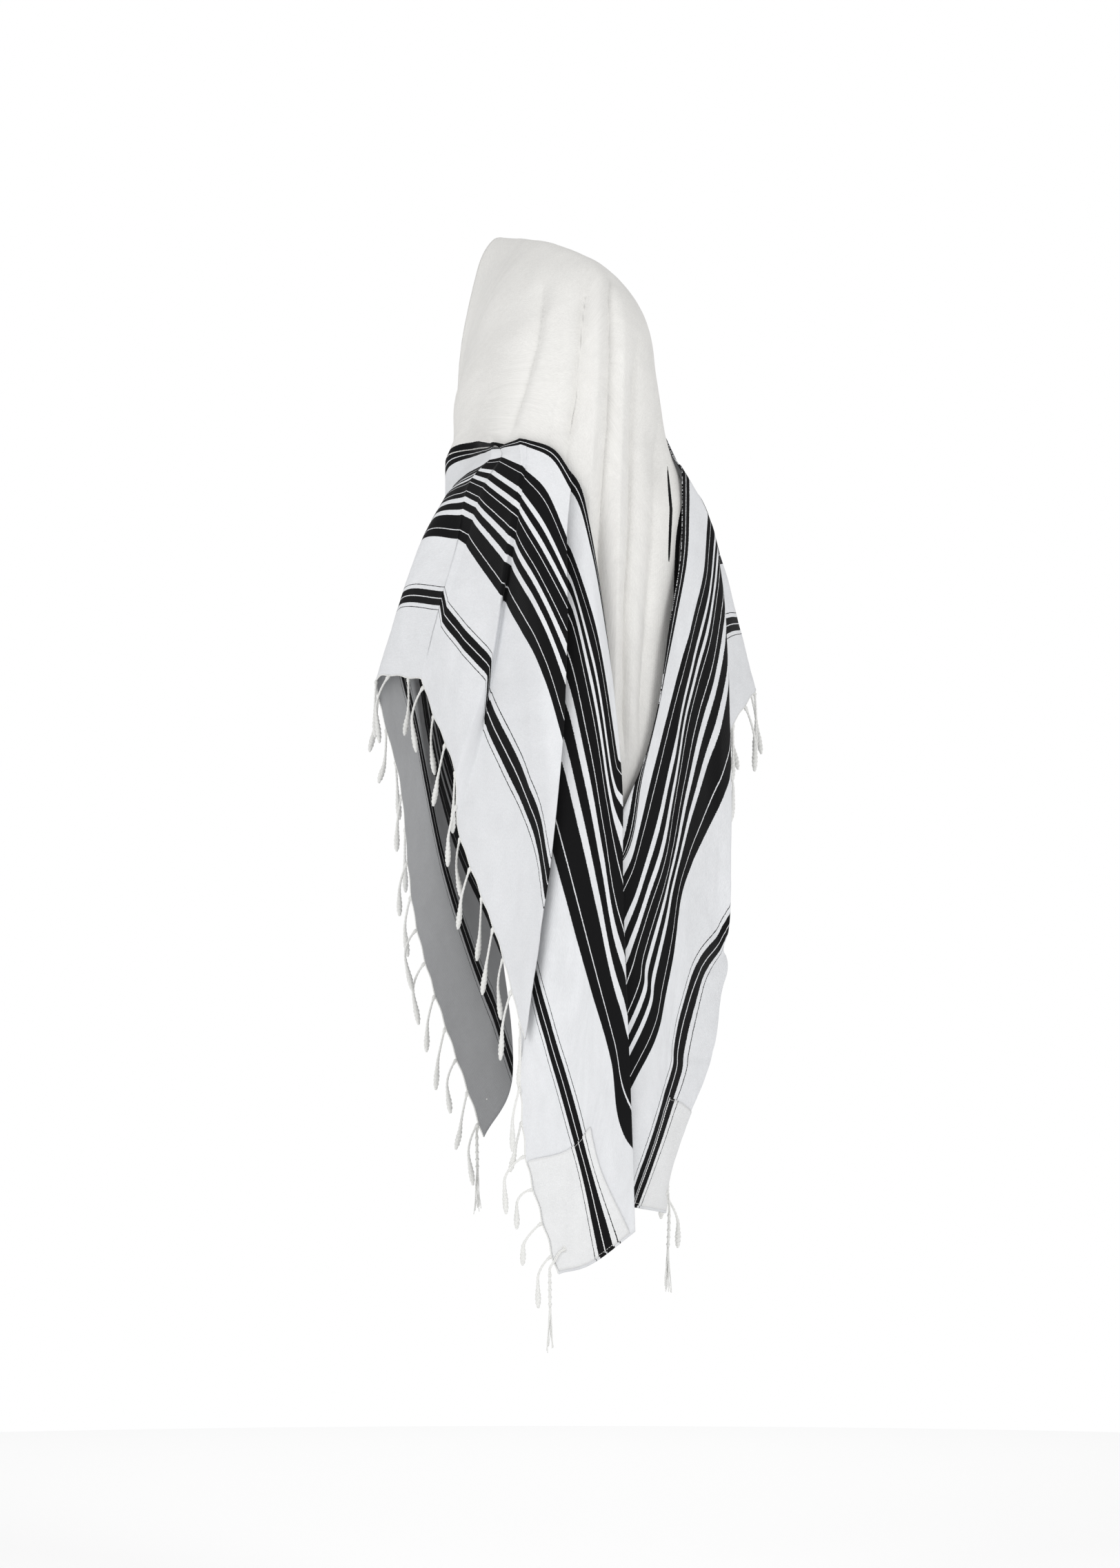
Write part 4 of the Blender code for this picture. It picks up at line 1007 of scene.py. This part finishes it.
def make_tassel(name, cover, draw):
    """A corner tassel: two cords from the eyelet over the edge, knotted windings, loose strings."""
    yarn = Yarns()
    width, height = cover["eyelet"]
    points = [(width + CORD_BACK, height), (width * CORD_WAY[0], height * CORD_WAY[1]),
              (CORD_EDGE, EDGE_TURN)]
    over, _ = over_patch(cover, points, CORD_LIFT)
    start, _ = over_patch(cover, [(width, height)], -CORD_SINK)
    edge = over[-1]
    away = edge - over[1]
    away /= np.linalg.norm(away)
    away[2] = min(away[2], -0.2)
    turn = edge + away * CORD_TURN
    down = np.array([0.0, 0.0, -1.0])
    across = np.cross(down, SEEN_BACK)
    for shift in (-CORD_RADIUS, CORD_RADIUS):
        aside = across * shift
        path = [start[0], over[0] + aside, over[1] + aside, edge + aside,
                turn + aside * CORDS_CLOSING[0], turn + down * CORD_DROP + aside * CORDS_CLOSING[1]]
        yarn.add(smoothed(path, 26), CORD_RADIUS, **CORD_PLY)
    sway = draw.uniform(-TASSEL_SWAY, TASSEL_SWAY, 2)
    steps = np.linspace(WOUND_FROM, WOUND + WOUND_PAST, 110)
    radii = np.full(len(steps), WINDING_RADIUS)
    for knot in KNOTS:
        radii = radii + KNOT_SWELL * np.exp(-((steps - knot) / KNOT_REACH) ** 2)
    line = [turn + down * step + (across * sway[0] + SEEN_BACK * sway[1]) * (step / WOUND) ** 2
            for step in steps]
    radii *= 1 + WINDING_DEPTH * np.cos(steps * 2 * np.pi / WINDING_PITCH)
    yarn.add(line, radii, **WINDING_PLY)
    foot = line[-1]
    for k in range(STRINGS):
        angle = 2 * np.pi * k / STRINGS + draw.uniform(-STRING_ASIDE, STRING_ASIDE)
        spread = draw.uniform(*STRING_SPREAD)
        aside = across * math.cos(angle) + SEEN_BACK * math.sin(angle)
        long = TASSEL_DROP - WOUND - WOUND_FROM - draw.uniform(0.0, STRING_SHORTER)
        bend = draw.uniform(-STRING_BEND, STRING_BEND, 2)
        path = []
        for share in np.linspace(0, 1, STRING_PLACES):
            bow = math.sin(share * STRING_BOW + k) * share
            apart = STRING_FOOT + spread * share ** STRING_POWER
            path.append(foot + down * long * share + aside * apart
                        + across * bend[0] * bow + SEEN_BACK * bend[1] * bow)
        yarn.add(path, np.linspace(*STRING_RADII, STRING_PLACES), **STRING_PLY)
    tassel = yarn.piece("tassel_" + name + "_knotted", YARN)
    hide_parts("tassel_" + name)
    return tassel


def make_fringe(name, panel, number, draw):
    """The corded edge of one fringed end with its hanging strands."""
    places, normals = panel["places"], panel["normals"]
    edge, face = places[-1], normals[-1]
    out = unit(edge - places[-3])
    length = line_lengths(edge)
    yarn = Yarns()
    fine = np.arange(EDGE_CORD_INSET, length[-1] - EDGE_CORD_INSET, EDGE_CORD_STEP)
    yarn.add(read_line(fine, length, edge), EDGE_CORD_RADIUS, **EDGE_PLY)
    strands = max(1, round(length[-1] / STRAND_PITCH))
    pitch = length[-1] / strands
    for k in range(FIRST_STRAND.get(name, 0), strands):
        at = [(k + STRAND_PHASE) * pitch]
        root, away, facing = (read_line(at, length, values)[0] for values in (edge, out, face))
        reach = STRAND_REACH[number % len(STRAND_REACH)]
        side = STRAND_SIDES[number % len(STRAND_SIDES)]
        long = STRAND_LENGTH * draw.uniform(*STRAND_SPREAD)
        along = np.cross(facing, away)
        curl = draw.uniform(-STRAND_CURL, STRAND_CURL)
        hook = draw.uniform(-STRAND_HOOK, STRAND_HOOK)
        line = []
        for share in STRAND_SHARES:
            gone = 1 - (1 - min(1.0, share * STRAND_OUT_RATE)) ** STRAND_OUT_POWER
            drop = np.array([0.0, 0.0, -long * share ** STRAND_FALL_POWER])
            swing = (curl * math.sin(share * math.pi * CURL_TURN)
                     + hook * max(0.0, share - HOOK_FROM) ** HOOK_POWER)
            line.append(root + (away * reach + facing * side) * gone + drop + along * swing)
        radii = np.interp(np.linspace(0, 1, 60), STRAND_SHARES, STRAND_RADII)
        yarn.add(smoothed(line, 60), radii, **STRAND_PLY)
        yarn.add(smoothed(line[:3], len(ROOT_RADII)), ROOT_RADII, **ROOT_PLY)
        number += 1
    fringe = yarn.piece("fringe_" + name + "_corded", YARN)
    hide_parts("fringe_" + name)
    return fringe, number


def hem(from_edge):
    """How thick the cloth is near its turned and sewn long edges."""
    return CLOTH_WALL + HEM_EXTRA * (1 - grow(from_edge, *HEM_REACH))


def fine_edge(places, normals, under, side, name, folds):
    """A side edge of the centre panel at its fine stations."""
    rough = centre_edge(places, normals, under, side)
    line = smooth_path(STATIONS, rough, CENTRE_STATIONS)
    stations = np.minimum(CENTRE_STATIONS, folds[-1][0])
    exact, _ = fine_panel(folds, (0.0, 1.0), stations, PLEATS.get(name, ()))
    flush = (1 - grow(CENTRE_STATIONS, STEP_STATIONS[0] - 0.5, STEP_STATIONS[0]))[:, None]
    return exact[0] * flush + line * (1 - flush)


studio()
WOOL = wool_material("white_wool", WOOL_COLOUR)
BAND = wool_material("banded_wool", BAND_COLOUR)
PATCH = wool_material("patch_wool", PATCH_COLOUR)
YARN = yarn_material("yarn", YARN_COLOUR)

draw = np.random.default_rng(SEED)
shares = np.linspace(0, 1, PANEL_ROWS)
fine_shares = np.linspace(0, 1, FINE_ROWS)
coarse, panels = {}, {}
for name, folds, first, last, side in PANELS:
    stations = STATIONS[(STATIONS >= first) & (STATIONS <= last)]
    places, _ = panel_places(folds, shares, stations)
    coarse[name] = (places, grid_normals(places, side))
    edges = PLEATS.get(name, ())
    stations = even_stations(folds, CELL, edges)
    places, across = fine_panel(folds, fine_shares, stations, edges)
    panels[name] = {"places": places, "across": across, "stations": stations, "sign": side,
                    "normals": grid_normals(places, side), "from_seam": across[:1] - across,
                    "pleats": pleat_lift(folds, stations, edges)}

# The hood and centre between the sleeves, sharing their edges in front.
right_side = [np.concatenate([sleeve, back[:, 1:]], axis=1)
              for sleeve, back in zip(coarse["right_sleeve"], coarse["right_back"])]
left_edge = fine_edge(*coarse["left_sleeve"], LEFT_UNDER, LEFT_SIDE, "left_sleeve", LEFT_SLEEVE)
right_edge = fine_edge(*right_side, RIGHT_UNDER, RIGHT_SIDE, "right_sleeve", RIGHT_SLEEVE)
places = centre_places(left_edge, centre_guides(CENTRE_STATIONS), right_edge)
from_side = run_lengths(places, 0)
from_seam = np.minimum(from_side, from_side[-1:] - from_side)
panels["centre"] = {"places": places, "across": NECK + from_seam, "stations": CENTRE_STATIONS,
                    "sign": RIGHT_SIDE, "normals": grid_normals(places, RIGHT_SIDE),
                    "from_seam": from_seam, "pleats": np.zeros(len(CENTRE_STATIONS))}

# Folds, waves and scallops, weaker where two panels meet edge to edge.
for name, panel in panels.items():
    joined = 1 - grow(panel["stations"], *STEP_STATIONS)[None, :]
    least = np.maximum(JOINED_SHARE * joined, SEAM_SHARE)
    share = least + (1 - least) * grow(panel["from_seam"], 0, SEAM_REACH)
    places = panel["places"] + panel["normals"] * panel["pleats"][None, :, None]
    places = dressed(name, places, panel["normals"], share)
    panel["places"] = places if name == "centre" else scallop(places)
    panel["normals"] = grid_normals(panel["places"], panel["sign"])

pieces = {}
for name, panel in panels.items():
    along, across = run_lengths(panel["places"], 1), panel["across"]
    if name == "centre":
        across = with_neck_stripe(panel["places"], panel["normals"], across)
    from_edge = np.full(along.shape, 1.0)
    if panel["stations"][0] == STATIONS[0]:
        from_edge = np.minimum(from_edge, along)
    if panel["stations"][-1] == STATIONS[-1]:
        from_edge = np.minimum(from_edge, along[:, -1:] - along)
    marks = np.stack([across, along, from_edge], axis=2)
    piece = shell_mesh("cloth_" + name + "_woven", panel["places"], panel["normals"],
                       hem(from_edge), panel["sign"], marks, WOOL if name == "centre" else BAND)
    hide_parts("cloth_" + name)
    pieces[name] = [piece]

for side in ("left", "right"):
    number = 0
    for part in ("sleeve", "back"):
        name = side + "_" + part
        fringe, number = make_fringe(name, panels[name], number, draw)
        pieces[name].append(fringe)
    for corner, part, from_hem in (("front", "sleeve", False), ("back", "back", True)):
        name, place = side + "_" + part, side + "_" + corner
        sewn, cover = make_patch(place, panels[name], from_hem, *PATCH_SIZES[place])
        pieces[name] += sewn
        pieces[name].append(make_tassel(place, cover, draw))
